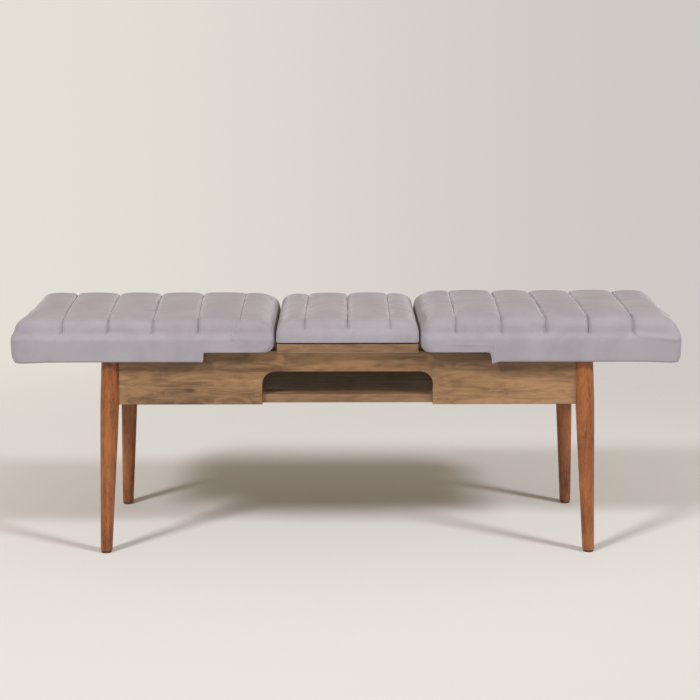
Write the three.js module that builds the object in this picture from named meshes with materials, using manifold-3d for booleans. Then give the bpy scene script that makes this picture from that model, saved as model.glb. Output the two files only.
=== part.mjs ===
// Extendable upholstered dining bench, pulled open, in millimetres.
// X runs along the length, the front faces -Y, and Z rises from the floor.
// The seats slide towards the middle once the centre unit is lifted out.
import * as THREE from "three";
import { mergeVertices } from "three/addons/utils/BufferGeometryUtils.js";
import Module from "manifold-3d";

const wasm = await Module();
wasm.setup();

// Whole bench
const OPEN_LENGTH = 1400;
const DEPTH = 380;
const SEAT_HEIGHT = 511;
const SEAT_THICK = 72.6;
const SEAT_TRAVEL = 150;

// Clearances
const FIT = 0.3;
const SLIDING_FIT = 0.4;
const OVERRUN = 20;
const BOTTOM_OVERRUN = 8;

// Aprons, end rails and the slot
const APRON_HEIGHT = 116;
const APRON_THICK = 18;
const APRON_SETBACK = 23;
const EDGE_BEVEL = 1.2;
const SLOT_WIDTH = 360;
const SLOT_TOP_DROP = 45;
const SLOT_CORNER_RADIUS = 28;

// Legs, glides and the bolted corners
const LEG_TOP_RADIUS = 19.5;
const LEG_KNEE_RADIUS = 20;
const LEG_FOOT_RADIUS = 12.5;
const LEG_SPLAY = 20;
const LEG_PROUD = 9.5;
const LEG_END_SETBACK = 33;
const LEG_TOP_GAP = 0.4;
const GLIDE_RADIUS = 11;
const GLIDE_THICK = 4;
const GLIDE_ROUND = 1;
const GLIDE_PIN_RADIUS = 2;
const GLIDE_PIN_LENGTH = 12;
const BLOCK_REACH = 50;
const BLOCK_STUB = 12;
const BLOCK_HEIGHT = 65;
const BLOCK_RAISE = 12;
const BOLT_RADIUS = 4;
const BOLT_IN_LEG = 4;
const NUT_RADIUS = 7.5;
const NUT_THICK = 6.5;
const WASHER_RADIUS = 8.5;
const WASHER_THICK = 1.6;

// Storage bay
const SHELF_THICK = 18;
const SHELF_RAISE = 2;
const SHELF_SETBACK = 10;
const FENCE_THICK = 12;
const FENCE_OUTSET = 10;
const FENCE_HEIGHT = 62;

// Extension slides and the battens that carry them
const SLIDE_HEIGHT = 27;
const SLIDE_THICK = 12.7;
const SLIDE_DROP = 3;
const SLIDE_SHEET = 1.2;
const SLIDE_FLANGE = 10;
const BALL_RACE = 2;
const CHANNEL_END_GAP = 14;
const CHANNEL_INNER_GAP = 8;
const BATTEN_INNER_GAP = 1.5;
const BATTEN_THICK = 20;
const BATTEN_HEIGHT = 29;
const BATTEN_END_GAP = 16;
const SCREW_RADIUS = 2.2;
const SCREW_HEAD_RADIUS = 4.2;
const SCREW_HEAD_HEIGHT = 3.2;
const SCREW_LENGTH = 40;
const SCREW_TIP = 3;
const SCREW_END_DISTANCE = 60;

// Seats
const NOSE_GAP = 4.5;
const BOARD_THICK = 18;
const COVER_THICK = 6;
const INNER_COVER_THICK = 20;
const SEAT_CORNER_RADIUS = 18;
const SEAT_CROWN = 10.6;
const SEAT_ROLL = 40;
const NOSE_ROLL = 26;
const CHANNEL_DEPTH = 7;
const SIDE_DRAW_IN = 1.5;
const LIP_NOTCH = 149;
const LIP_THICK = 11;
const LIP_END_THICK = 14;
const LIP_DROP = 17.4;

// Centre unit
const CENTRE_LENGTH = 295;
const CENTRE_BOARD_SETBACK = 2;
const PAD_BASE_THICK = 2;
const PAD_BASE_INSET = 6;
const PAD_OVERHANG = 2;
const PAD_CORNER_RADIUS = 14;
const PAD_CROWN = 10;
const PAD_ROLL = 34;
const PAD_END_ROLL = 22;
const PAD_SEAM_OFFSET = 90;
const CLEAT_END_GAP = 27.5;
const CLEAT_THICK = 18;
const CLEAT_HEIGHT = 24;
const CLEAT_CLEARANCE = 1;

// Cushion form: each level of the sides, as shares of the rise and of the roll
const LEVEL_HEIGHT_SHARES = [0, 0.12, 0.25, 0.45, 0.62, 0.78, 0.91, 1];
const SIDE_INSET_SHARES = [0.05, 0, 0, 0.03, 0.11, 0.28, 0.58, 1];
const NOSE_INSET_SHARES = [0.56, 0.15, 0, 0.1, 0.14, 0.2, 0.46, 1];
const SIDE_GROOVE_SHARES = [0, 0, 0, 0.05, 0.3, 0.6, 0.5, 0];
const TOP_GROOVE_SHARES = [0, 0, 0, 0, 0.1, 0.4, 0.8, 1];
const CORNER_SHARES = [0, 0.4, 1];
const CORNER_GROWTH_SHARE = 0.35;
const CORNER_ROOM_SHARE = 0.85;
const SEAT_SEAM_SHARES = [0.135, 0.304, 0.471, 0.636, 0.81];
const SEAM_STATION_SHARES = [-0.16, -0.06, 0, 0.06, 0.16];
const DEPTH_STATION_SHARES = [-0.5, 0, 0.5];
const GROOVE_POWER = 5;

// Facets
const LEG_SIDES = 32;
const GLIDE_SIDES = 16;
const BOLT_SIDES = 12;
const NUT_SIDES = 6;
const SCREW_SIDES = 8;
const ARC_STEPS = 6;

// Places that several pieces share
const halfOpen = OPEN_LENGTH / 2;
const halfClosed = halfOpen - SEAT_TRAVEL;
const halfDepth = DEPTH / 2;
const seatBottom = SEAT_HEIGHT - SEAT_THICK;
const frameTop = seatBottom - SLIDING_FIT;
const boardTop = seatBottom + BOARD_THICK;
const apronBottom = frameTop - APRON_HEIGHT;
const apronFace = halfDepth - APRON_SETBACK;
const apronInner = apronFace - APRON_THICK;
const legTopX = halfClosed - LEG_END_SETBACK - LEG_TOP_RADIUS;
const legTopY = apronFace + LEG_PROUD - LEG_TOP_RADIUS;
const railFace = legTopX + (apronFace - legTopY);
const railInner = railFace - APRON_THICK;
const shelfTop = apronBottom + SHELF_RAISE + SHELF_THICK;
const slideTop = frameTop - SLIDE_DROP;
const slideMiddle = slideTop - SLIDE_HEIGHT / 2;
const battenFace = apronInner - SLIDE_THICK;
const battenOuter = railInner - BATTEN_END_GAP;
const battenTop = seatBottom - FIT;
const seatInner = CENTRE_LENGTH / 2 + NOSE_GAP;
const boardInner = seatInner + INNER_COVER_THICK;
const battenInner = boardInner + BATTEN_INNER_GAP;
const padBottom = boardTop + FIT + PAD_BASE_THICK + FIT;

// Finishes
const FABRIC = { color: 0xafa7ab, roughness: 0.85, metalness: 0 };
const WALNUT = { color: 0x8c6e50, roughness: 0.5, metalness: 0 };
const BEECH = { color: 0x96582f, roughness: 0.42, metalness: 0 };
const PLYWOOD = { color: 0xc2a077, roughness: 0.7, metalness: 0 };
const STEEL = { color: 0xb4b6b8, roughness: 0.35, metalness: 1 };
const BLACK_PANEL = { color: 0x1d1a18, roughness: 0.8, metalness: 0 };
const GLIDE_PLASTIC = { color: 0x4a3a2e, roughness: 0.6, metalness: 0 };

// Turns a closed three.js geometry into a solid that can be joined and cut.
function solidOf(geometry) {
  const bare = new THREE.BufferGeometry();
  bare.setAttribute("position", geometry.getAttribute("position").clone());
  if (geometry.index) bare.setIndex(geometry.index.clone());
  const merged = mergeVertices(bare);
  const vertProperties = new Float32Array(merged.getAttribute("position").array);
  const triVerts = new Uint32Array(merged.index.array);
  return new wasm.Manifold(new wasm.Mesh({ numProp: 3, vertProperties, triVerts }));
}

// Turns a solid back into a three.js geometry.
function geometryOf(solid) {
  const mesh = solid.getMesh();
  const geometry = new THREE.BufferGeometry();
  geometry.setAttribute("position", new THREE.BufferAttribute(mesh.vertProperties, mesh.numProp));
  geometry.setIndex(new THREE.BufferAttribute(mesh.triVerts, 1));
  return geometry;
}

function cut(geometry, ...tools) {
  const left = tools.reduce((solid, tool) => solid.subtract(solidOf(tool)), solidOf(geometry));
  return geometryOf(left);
}

function join(geometry, ...others) {
  const whole = others.reduce((solid, other) => solid.add(solidOf(other)), solidOf(geometry));
  return geometryOf(whole);
}

function keep(geometry, region) {
  return geometryOf(solidOf(geometry).intersect(solidOf(region)));
}

// Mirrors a geometry to another quarter of the bench and keeps its faces pointing out.
function mirrored(geometry, signX, signY) {
  const copy = geometry.index ? geometry.toNonIndexed() : geometry.clone();
  copy.scale(signX, signY, 1);
  if (signX * signY > 0) return copy;
  const position = copy.getAttribute("position");
  const second = new THREE.Vector3();
  const third = new THREE.Vector3();
  for (let i = 0; i < position.count; i += 3) {
    second.fromBufferAttribute(position, i + 1);
    third.fromBufferAttribute(position, i + 2);
    position.setXYZ(i + 1, third.x, third.y, third.z);
    position.setXYZ(i + 2, second.x, second.y, second.z);
  }
  return copy;
}

// Names a piece, gives it its finish, and puts its own origin at its middle.
function addPiece(group, name, geometry, finish) {
  geometry.computeBoundingBox();
  const middle = geometry.boundingBox.getCenter(new THREE.Vector3());
  const own = geometry.clone().translate(-middle.x, -middle.y, -middle.z);
  own.computeVertexNormals();
  const mesh = new THREE.Mesh(own, new THREE.MeshStandardMaterial(finish));
  mesh.name = name;
  mesh.position.copy(middle);
  group.add(mesh);
}

// A box between two opposite corners.
function block(x, y, z) {
  const geometry = new THREE.BoxGeometry(x[1] - x[0], y[1] - y[0], z[1] - z[0]);
  return geometry.translate((x[0] + x[1]) / 2, (y[0] + y[1]) / 2, (z[0] + z[1]) / 2);
}

// A flat panel between two heights, with its outline seen from above and its edges eased.
function panel(outline, z, bevel) {
  const options = { depth: z[1] - z[0] - 2 * bevel, steps: 1, curveSegments: ARC_STEPS };
  options.bevelEnabled = bevel > 0;
  options.bevelThickness = bevel;
  options.bevelSize = bevel;
  options.bevelOffset = -bevel;
  options.bevelSegments = 1;
  return new THREE.ExtrudeGeometry(outline, options).translate(0, 0, z[0] + bevel);
}

// A rail that stands on its edge, with its outline seen from the front.
function standing(outline, y, bevel) {
  return panel(outline, [-y[1], -y[0]], bevel).rotateX(Math.PI / 2);
}

function polygon(points) {
  return new THREE.Shape(points.map(([x, y]) => new THREE.Vector2(x, y)));
}

// A rectangle whose four corners are round.
function roundedOutline(x, y, radius) {
  const shape = new THREE.Shape();
  shape.moveTo(x[0] + radius, y[0]);
  shape.lineTo(x[1] - radius, y[0]);
  shape.absarc(x[1] - radius, y[0] + radius, radius, -Math.PI / 2, 0, false);
  shape.lineTo(x[1], y[1] - radius);
  shape.absarc(x[1] - radius, y[1] - radius, radius, 0, Math.PI / 2, false);
  shape.lineTo(x[0] + radius, y[1]);
  shape.absarc(x[0] + radius, y[1] - radius, radius, Math.PI / 2, Math.PI, false);
  shape.lineTo(x[0], y[0] + radius);
  shape.absarc(x[0] + radius, y[0] + radius, radius, Math.PI, 1.5 * Math.PI, false);
  return shape;
}

// A turned piece about the Z axis, from radius and height pairs that rise from the axis to the axis.
function turned(profile, sides) {
  const points = profile.map(([radius, height]) => new THREE.Vector2(radius, height));
  return new THREE.LatheGeometry(points, sides).rotateX(Math.PI / 2);
}

// Where a leg's middle line passes at a height, in the quarter where X and Y are positive.
function legAxis(height) {
  const share = 1 - height / frameTop;
  return new THREE.Vector3(legTopX + LEG_SPLAY * share, legTopY + LEG_SPLAY * share, height);
}

// The leg's turned body, grown by a clearance, before its ends are cut level.
function legBody(grow) {
  const run = legAxis(0).distanceTo(legAxis(frameTop));
  const knee = run * (1 - APRON_HEIGHT / frameTop);
  const profile = [
    [0, -OVERRUN],
    [LEG_FOOT_RADIUS + grow, -OVERRUN],
    [LEG_FOOT_RADIUS + grow, 0],
    [LEG_KNEE_RADIUS + grow, knee],
    [LEG_TOP_RADIUS + grow, run],
    [LEG_TOP_RADIUS + grow, run + OVERRUN],
    [0, run + OVERRUN],
  ];
  const rise = legAxis(frameTop).sub(legAxis(0)).normalize();
  const lean = new THREE.Quaternion().setFromUnitVectors(new THREE.Vector3(0, 0, 1), rise);
  const foot = legAxis(0);
  return turned(profile, LEG_SIDES).applyQuaternion(lean).translate(foot.x, foot.y, foot.z);
}

// A horizontal pin along the corner's diagonal, from one distance off the leg's middle line to another.
function cornerPin(radius, from, to, sides) {
  const height = apronBottom + BLOCK_RAISE + BLOCK_HEIGHT / 2;
  const middle = legAxis(height);
  const pin = new THREE.CylinderGeometry(radius, radius, to - from, sides);
  pin.translate(0, (from + to) / 2, 0).rotateZ(-Math.PI / 4);
  return pin.translate(middle.x, middle.y, middle.z);
}

// How far the corner block's slanted face lies from the leg's middle line, counted outwards.
function slantedFace() {
  const height = apronBottom + BLOCK_RAISE + BLOCK_HEIGHT / 2;
  const middle = legAxis(height);
  const nearX = railInner - FIT - BLOCK_REACH;
  const nearY = apronInner - FIT - BLOCK_STUB;
  return (nearX + nearY - middle.x - middle.y) / Math.SQRT2;
}

function glide() {
  const foot = legAxis(0);
  const profile = [
    [0, 0],
    [GLIDE_RADIUS - GLIDE_ROUND, 0],
    [GLIDE_RADIUS, GLIDE_ROUND],
    [GLIDE_RADIUS, GLIDE_THICK],
    [GLIDE_PIN_RADIUS, GLIDE_THICK],
    [GLIDE_PIN_RADIUS, GLIDE_THICK + GLIDE_PIN_LENGTH],
    [0, GLIDE_THICK + GLIDE_PIN_LENGTH],
  ];
  return turned(profile, GLIDE_SIDES).translate(foot.x, foot.y, 0);
}

function glideBore() {
  const foot = legAxis(0);
  const radius = GLIDE_PIN_RADIUS + FIT;
  const top = GLIDE_THICK + GLIDE_PIN_LENGTH + FIT;
  const bore = turned([[0, 0], [radius, 0], [radius, top], [0, top]], GLIDE_SIDES);
  return bore.translate(foot.x, foot.y, 0);
}

function leg() {
  const foot = legAxis(0);
  const reach = LEG_KNEE_RADIUS + OVERRUN + LEG_SPLAY;
  const across = (middle) => [middle - reach, middle + reach];
  const level = block(across(foot.x), across(foot.y), [GLIDE_THICK + FIT, frameTop - LEG_TOP_GAP]);
  const boltHole = cornerPin(BOLT_RADIUS + FIT, -reach, BOLT_IN_LEG + FIT, BOLT_SIDES);
  return cut(keep(legBody(0), level), glideBore(), boltHole);
}

function cornerBlock() {
  const x = railInner - FIT;
  const y = apronInner - FIT;
  const outline = polygon([
    [x, y - BLOCK_REACH],
    [x, y],
    [x - BLOCK_REACH, y],
    [x - BLOCK_REACH, y - BLOCK_STUB],
    [x - BLOCK_STUB, y - BLOCK_REACH],
  ]);
  const bottom = apronBottom + BLOCK_RAISE;
  const body = panel(outline, [bottom, bottom + BLOCK_HEIGHT], 0);
  const boltHole = cornerPin(BOLT_RADIUS + FIT, slantedFace() - OVERRUN, BOLT_IN_LEG, BOLT_SIDES);
  return cut(body, legBody(FIT), boltHole);
}

// A bolt with its washer and nut against the block's slanted face.
function cornerBolt() {
  const face = slantedFace() - FIT;
  const shank = cornerPin(BOLT_RADIUS, face - WASHER_THICK - NUT_THICK, BOLT_IN_LEG, BOLT_SIDES);
  const washer = cornerPin(WASHER_RADIUS, face - WASHER_THICK, face, BOLT_SIDES);
  const nutFace = face - WASHER_THICK / 2;
  const nut = cornerPin(NUT_RADIUS, nutFace - NUT_THICK, nutFace, NUT_SIDES);
  return join(shank, washer, nut);
}

// The front apron's outline: a slot open at the bottom, where the shelf closes it.
function slottedOutline() {
  const radius = SLOT_CORNER_RADIUS;
  const side = SLOT_WIDTH / 2;
  const slotTop = frameTop - SLOT_TOP_DROP;
  const shape = new THREE.Shape();
  shape.moveTo(-legTopX, apronBottom);
  shape.lineTo(-side, apronBottom);
  shape.lineTo(-side, slotTop - radius);
  shape.absarc(-side + radius, slotTop - radius, radius, Math.PI, Math.PI / 2, true);
  shape.lineTo(side - radius, slotTop);
  shape.absarc(side - radius, slotTop - radius, radius, Math.PI / 2, 0, true);
  shape.lineTo(side, apronBottom);
  shape.lineTo(legTopX, apronBottom);
  shape.lineTo(legTopX, frameTop);
  shape.lineTo(-legTopX, frameTop);
  return shape;
}

function plainOutline(halfLength) {
  return polygon([
    [-halfLength, apronBottom],
    [halfLength, apronBottom],
    [halfLength, frameTop],
    [-halfLength, frameTop],
  ]);
}

// The legs and bolts at the given quarters, grown by a clearance, which shape a rail's ends.
function scribes(quarters) {
  const tools = [legBody(FIT), cornerPin(BOLT_RADIUS + FIT, slantedFace(), 0, BOLT_SIDES)];
  return quarters.flatMap(([signX, signY]) => tools.map((tool) => mirrored(tool, signX, signY)));
}

function frontApron() {
  const rail = standing(slottedOutline(), [-apronFace, -apronInner], EDGE_BEVEL);
  return cut(rail, ...scribes([[-1, -1], [1, -1]]));
}

function rearApron() {
  const rail = standing(plainOutline(legTopX), [apronInner, apronFace], EDGE_BEVEL);
  return cut(rail, ...scribes([[-1, 1], [1, 1]]));
}

function endRail(sign) {
  const rail = standing(plainOutline(legTopY), [-railFace, -railInner], EDGE_BEVEL).rotateZ(Math.PI / 2);
  return cut(mirrored(rail, sign, 1), ...scribes([[sign, -1], [sign, 1]]));
}

// The bay's floor, with a tongue that closes the slot's open bottom.
function shelf() {
  const side = SLOT_WIDTH / 2 + FENCE_OUTSET + FENCE_THICK;
  const tongue = SLOT_WIDTH / 2 - FIT;
  const inner = apronInner - FIT;
  const outline = polygon([
    [-tongue, -apronFace + SHELF_SETBACK],
    [tongue, -apronFace + SHELF_SETBACK],
    [tongue, -inner],
    [side, -inner],
    [side, inner],
    [-side, inner],
    [-side, -inner],
    [-tongue, -inner],
  ]);
  return panel(outline, [shelfTop - SHELF_THICK, shelfTop], 0);
}

function bayFence() {
  const inner = SLOT_WIDTH / 2 + FENCE_OUTSET;
  const run = apronInner - FIT;
  return block([inner, inner + FENCE_THICK], [-run, run], [shelfTop + FIT, shelfTop + FENCE_HEIGHT]);
}

// A C section in Y and Z, its web at y[0] and its flanges reaching y[1], drawn along X.
function cSection(x, y, height) {
  const inwards = Math.sign(y[1] - y[0]);
  const flange = height / 2 - SLIDE_SHEET;
  const web = y[0] + inwards * SLIDE_SHEET;
  const outline = polygon([
    [y[0], -height / 2],
    [y[1], -height / 2],
    [y[1], -flange],
    [web, -flange],
    [web, flange],
    [y[1], flange],
    [y[1], height / 2],
    [y[0], height / 2],
  ]);
  const bar = panel(outline, [0, x[1] - x[0]], 0);
  return bar.rotateY(Math.PI / 2).rotateX(Math.PI / 2).translate(x[0], 0, slideMiddle);
}

function slideChannel() {
  const x = [battenInner - SEAT_TRAVEL - CHANNEL_INNER_GAP, railInner - CHANNEL_END_GAP];
  const web = apronInner - FIT;
  return cSection(x, [web, web - SLIDE_FLANGE], SLIDE_HEIGHT);
}

function slideMember() {
  const web = battenFace + FIT;
  const edge = apronInner - FIT - SLIDE_SHEET - SLIDE_SHEET;
  const height = SLIDE_HEIGHT - 2 * SLIDE_SHEET - 2 * BALL_RACE;
  return cSection([battenInner, battenOuter], [web, edge], height);
}

// The places along a batten where its two screws stand.
function screwPlaces() {
  return [battenInner + SCREW_END_DISTANCE, battenOuter - SCREW_END_DISTANCE];
}

// A countersunk screw that points up, grown by a clearance.
function battenScrew(place, grow) {
  const bottom = battenTop - BATTEN_HEIGHT + FIT;
  const top = bottom + SCREW_LENGTH + grow;
  const profile = [
    [0, bottom - grow],
    [SCREW_HEAD_RADIUS + grow, bottom - grow],
    [SCREW_RADIUS + grow, bottom + SCREW_HEAD_HEIGHT],
    [SCREW_RADIUS + grow, top - SCREW_TIP],
    [0, top],
  ];
  return turned(profile, SCREW_SIDES).translate(place, battenFace - BATTEN_THICK / 2, 0);
}

function batten() {
  const y = [battenFace - BATTEN_THICK, battenFace];
  const bar = block([battenInner, battenOuter], y, [battenTop - BATTEN_HEIGHT, battenTop]);
  return cut(bar, ...screwPlaces().map((place) => battenScrew(place, FIT)));
}

// The seat board's outline, grown by a clearance.
function boardOutline(grow) {
  const radius = SEAT_CORNER_RADIUS - COVER_THICK;
  const x = [boardInner - grow, halfOpen - COVER_THICK + grow];
  const y = halfDepth - COVER_THICK + grow;
  return roundedOutline(x, [-y, y], radius + grow);
}

function seatBoard() {
  const body = panel(boardOutline(0), [seatBottom, boardTop], 0);
  const holes = screwPlaces().flatMap((place) => {
    const hole = battenScrew(place, FIT);
    return [hole, mirrored(hole, 1, -1)];
  });
  return cut(body, ...holes);
}

// The seat's outline from the floor to the frame's top, which rounds the lips' outer corners.
function seatPrism() {
  const outline = roundedOutline([0, halfOpen], [-halfDepth, halfDepth], SEAT_CORNER_RADIUS);
  return panel(outline, [0, frameTop + OVERRUN], 0);
}

function sideLip() {
  const x = [seatInner + LIP_NOTCH, halfOpen];
  const bar = block(x, [halfDepth - LIP_THICK, halfDepth], [seatBottom - LIP_DROP, seatBottom - FIT]);
  return keep(bar, seatPrism());
}

function endLip() {
  const side = halfDepth - LIP_THICK - FIT;
  const x = [halfOpen - LIP_END_THICK, halfOpen];
  const bar = block(x, [-side, side], [seatBottom - LIP_DROP, seatBottom - FIT]);
  return keep(bar, seatPrism());
}

// How deep the channels' seams draw in at a place, from 1 on a seam to 0 half way between two.
function grooveAt(x, seams) {
  const pitch = seams[1] - seams[0];
  const distance = Math.min(...seams.map((seam) => Math.abs(x - seam)));
  return Math.max(0, 1 - (2 * distance) / pitch) ** GROOVE_POWER;
}

// Where a cushion starts and ends along the length at one level.
function cushionEnds(form, level) {
  const start = form.x[0] + form.startRoll * form.startShares[level];
  const end = form.x[1] - form.endRoll * form.endShares[level];
  return [start, end];
}

// How far the columns beside a seam lie from it.
function seamStations(form) {
  return SEAM_STATION_SHARES.map((share) => share * (form.seams[1] - form.seams[0]));
}

// The places along the length where a cushion's surface has a column of points.
function cushionColumns(form, level) {
  const [start, end] = cushionEnds(form, level);
  const radius = cornerRadius(form, level);
  const seams = form.seams;
  const offsets = seamStations(form);
  const near = seams.flatMap((seam) => offsets.map((offset) => seam + offset));
  const between = seams.slice(1).map((seam, i) => (seam + seams[i]) / 2);
  const inner = [...near, ...between].sort((a, b) => a - b);
  const corner = CORNER_SHARES.map((share) => share * radius);
  return [...corner.map((c) => start + c), ...inner, ...corner.map((c) => end - c).reverse()];
}

// The places across the depth where a cushion's surface has a row of points.
function cushionRows(form, level) {
  const side = form.halfDepth - form.roll * SIDE_INSET_SHARES[level];
  const radius = cornerRadius(form, level);
  const corner = CORNER_SHARES.map((share) => side - share * radius);
  const inner = DEPTH_STATION_SHARES.map((share) => share * (side - radius));
  return [...corner.map((c) => -c), ...inner, ...corner.reverse()];
}

// A corner's radius grows as the sides roll in, as far as the seams beside it leave room.
function cornerRadius(form, level) {
  const [start, end] = cushionEnds(form, level);
  const stations = seamStations(form);
  const startRoom = form.seams[0] + stations[0] - start;
  const endRoom = end - form.seams[form.seams.length - 1] - stations[stations.length - 1];
  const radius = form.corner + CORNER_GROWTH_SHARE * form.roll * SIDE_INSET_SHARES[level];
  return Math.min(radius, CORNER_ROOM_SHARE * startRoom, CORNER_ROOM_SHARE * endRoom);
}

// The grid places along a cushion's border, in one turn round it.
function borderPlaces(columns, rows) {
  const places = [];
  for (let i = 0; i < columns - 1; i += 1) places.push([i, 0]);
  for (let j = 0; j < rows - 1; j += 1) places.push([columns - 1, j]);
  for (let i = columns - 1; i > 0; i -= 1) places.push([i, rows - 1]);
  for (let j = rows - 1; j > 0; j -= 1) places.push([0, j]);
  return places;
}

// A point of a cushion's side, at one level and one border place.
function sidePoint(form, level, i, j) {
  const xs = cushionColumns(form, level);
  const ys = cushionRows(form, level);
  const stepsIn = [Math.min(i, xs.length - 1 - i), Math.min(j, ys.length - 1 - j)];
  const signX = i < xs.length / 2 ? -1 : 1;
  const signY = j < ys.length / 2 ? -1 : 1;
  let x = xs[i];
  let y = ys[j];
  const onCorner = Math.max(...stepsIn);
  if (onCorner < CORNER_SHARES.length) {
    const radius = cornerRadius(form, level);
    const turn = (1 - CORNER_SHARES[onCorner]) * (Math.PI / 4);
    const heading = stepsIn[1] === 0 ? Math.PI / 2 - turn : turn;
    const [alongX, alongY] = [Math.cos(heading), Math.sin(heading)];
    x = (signX < 0 ? xs[0] : xs[xs.length - 1]) - signX * radius * (1 - alongX);
    y = (signY < 0 ? ys[0] : ys[ys.length - 1]) - signY * radius * (1 - alongY);
  } else if (stepsIn[1] === 0) {
    const along = (x - form.x[0]) / (form.x[1] - form.x[0]);
    const groove = CHANNEL_DEPTH * SIDE_GROOVE_SHARES[level] * grooveAt(x, form.seams);
    y -= signY * (groove + SIDE_DRAW_IN * Math.sin(Math.PI * along));
  }
  const sink = stepsIn[1] === 0 ? CHANNEL_DEPTH * TOP_GROOVE_SHARES[level] * grooveAt(x, form.seams) : 0;
  return [x, y, form.bottom + form.rise * LEVEL_HEIGHT_SHARES[level] - sink];
}

// A point of a cushion's crowned top.
function topPoint(form, xs, ys, i, j) {
  const x = xs[i];
  const y = ys[j];
  const across = y / ys[ys.length - 1];
  const along = (2 * x - xs[0] - xs[xs.length - 1]) / (xs[xs.length - 1] - xs[0]);
  const edge = form.bottom + form.rise;
  const crown = (SEAT_HEIGHT - edge) * (1 - across ** 2) * (1 - along ** 4);
  return [x, y, edge + crown - CHANNEL_DEPTH * grooveAt(x, form.seams)];
}

// A cushion: a flat bottom, sides that roll in level by level, and a crowned top with sewn channels.
function cushion(form) {
  const top = LEVEL_HEIGHT_SHARES.length - 1;
  const xs = cushionColumns(form, top);
  const ys = cushionRows(form, top);
  const border = borderPlaces(xs.length, ys.length);
  const count = border.length;
  const levelPoints = (_, level) => border.map(([i, j]) => sidePoint(form, level, i, j));
  const points = LEVEL_HEIGHT_SHARES.flatMap(levelPoints);
  const faces = [];
  for (let level = 0; level < top; level += 1) {
    for (let m = 0; m < count; m += 1) {
      const low = level * count;
      const next = (m + 1) % count;
      faces.push([low + m, low + next, low + count + next], [low + m, low + count + next, low + count + m]);
    }
  }
  const grid = new Map(border.map(([i, j], m) => [i + "," + j, top * count + m]));
  for (let i = 1; i < xs.length - 1; i += 1) {
    for (let j = 1; j < ys.length - 1; j += 1) {
      grid.set(i + "," + j, points.length);
      points.push(topPoint(form, xs, ys, i, j));
    }
  }
  for (let i = 0; i < xs.length - 1; i += 1) {
    for (let j = 0; j < ys.length - 1; j += 1) {
      const [a, b] = [grid.get(i + "," + j), grid.get(i + 1 + "," + j)];
      const [c, d] = [grid.get(i + 1 + "," + (j + 1)), grid.get(i + "," + (j + 1))];
      faces.push([a, b, c], [a, c, d]);
    }
  }
  const base = points.slice(0, count).map(([x, y]) => new THREE.Vector2(x, y));
  THREE.ShapeUtils.triangulateShape(base, []).forEach(([a, b, c]) => faces.push([a, c, b]));
  const geometry = new THREE.BufferGeometry();
  geometry.setAttribute("position", new THREE.Float32BufferAttribute(points.flat(), 3));
  geometry.setIndex(faces.flat());
  return geometry;
}

function seatCushion() {
  const seams = SEAT_SEAM_SHARES.map((share) => seatInner + share * (halfOpen - seatInner));
  const form = {
    x: [seatInner, halfOpen],
    halfDepth,
    bottom: seatBottom,
    rise: SEAT_THICK - SEAT_CROWN,
    roll: SEAT_ROLL,
    corner: SEAT_CORNER_RADIUS,
    startRoll: NOSE_ROLL,
    startShares: NOSE_INSET_SHARES,
    endRoll: SEAT_ROLL,
    endShares: SIDE_INSET_SHARES,
    seams,
  };
  const pocket = panel(boardOutline(FIT), [seatBottom - BOTTOM_OVERRUN, boardTop + FIT], 0);
  return cut(cushion(form), pocket);
}

function padCushion() {
  const side = CENTRE_LENGTH / 2 + PAD_OVERHANG;
  return cushion({
    x: [-side, side],
    halfDepth,
    bottom: padBottom,
    rise: SEAT_HEIGHT - PAD_CROWN - padBottom,
    roll: PAD_ROLL,
    corner: PAD_CORNER_RADIUS,
    startRoll: PAD_END_ROLL,
    startShares: SIDE_INSET_SHARES,
    endRoll: PAD_END_ROLL,
    endShares: SIDE_INSET_SHARES,
    seams: [-PAD_SEAM_OFFSET, 0, PAD_SEAM_OFFSET],
  });
}

function centreBoard() {
  const x = CENTRE_LENGTH / 2;
  const y = halfDepth - CENTRE_BOARD_SETBACK;
  return panel(polygon([[-x, -y], [x, -y], [x, y], [-x, y]]), [seatBottom, boardTop], EDGE_BEVEL);
}

function padBase() {
  const x = CENTRE_LENGTH / 2 - PAD_BASE_INSET;
  const y = halfDepth - PAD_BASE_INSET;
  return block([-x, x], [-y, y], [boardTop + FIT, boardTop + FIT + PAD_BASE_THICK]);
}

function cleat() {
  const outer = apronInner - FIT - SLIDE_FLANGE - CLEAT_CLEARANCE;
  const x = CENTRE_LENGTH / 2 - CLEAT_END_GAP;
  return block([-x, x], [outer - CLEAT_THICK, outer], [battenTop - CLEAT_HEIGHT, battenTop]);
}

// The fixed frame, with its storage bay and the fixed halves of the slides.
function frame() {
  const group = new THREE.Group();
  for (const [end, signX] of [["left", -1], ["right", 1]]) {
    for (const [side, signY] of [["front", -1], ["rear", 1]]) {
      const place = side + "_" + end;
      addPiece(group, "leg_" + place, mirrored(leg(), signX, signY), BEECH);
      addPiece(group, "glide_" + place, mirrored(glide(), signX, signY), GLIDE_PLASTIC);
      addPiece(group, "corner_block_" + place, mirrored(cornerBlock(), signX, signY), PLYWOOD);
      addPiece(group, "corner_bolt_" + place, mirrored(cornerBolt(), signX, signY), STEEL);
      addPiece(group, "slide_channel_" + place, mirrored(slideChannel(), signX, signY), STEEL);
    }
    addPiece(group, "end_rail_" + end, endRail(signX), WALNUT);
    addPiece(group, "bay_fence_" + end, mirrored(bayFence(), signX, 1), WALNUT);
  }
  addPiece(group, "front_apron", frontApron(), WALNUT);
  addPiece(group, "rear_apron", rearApron(), WALNUT);
  addPiece(group, "shelf_board", shelf(), WALNUT);
  return group;
}

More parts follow.
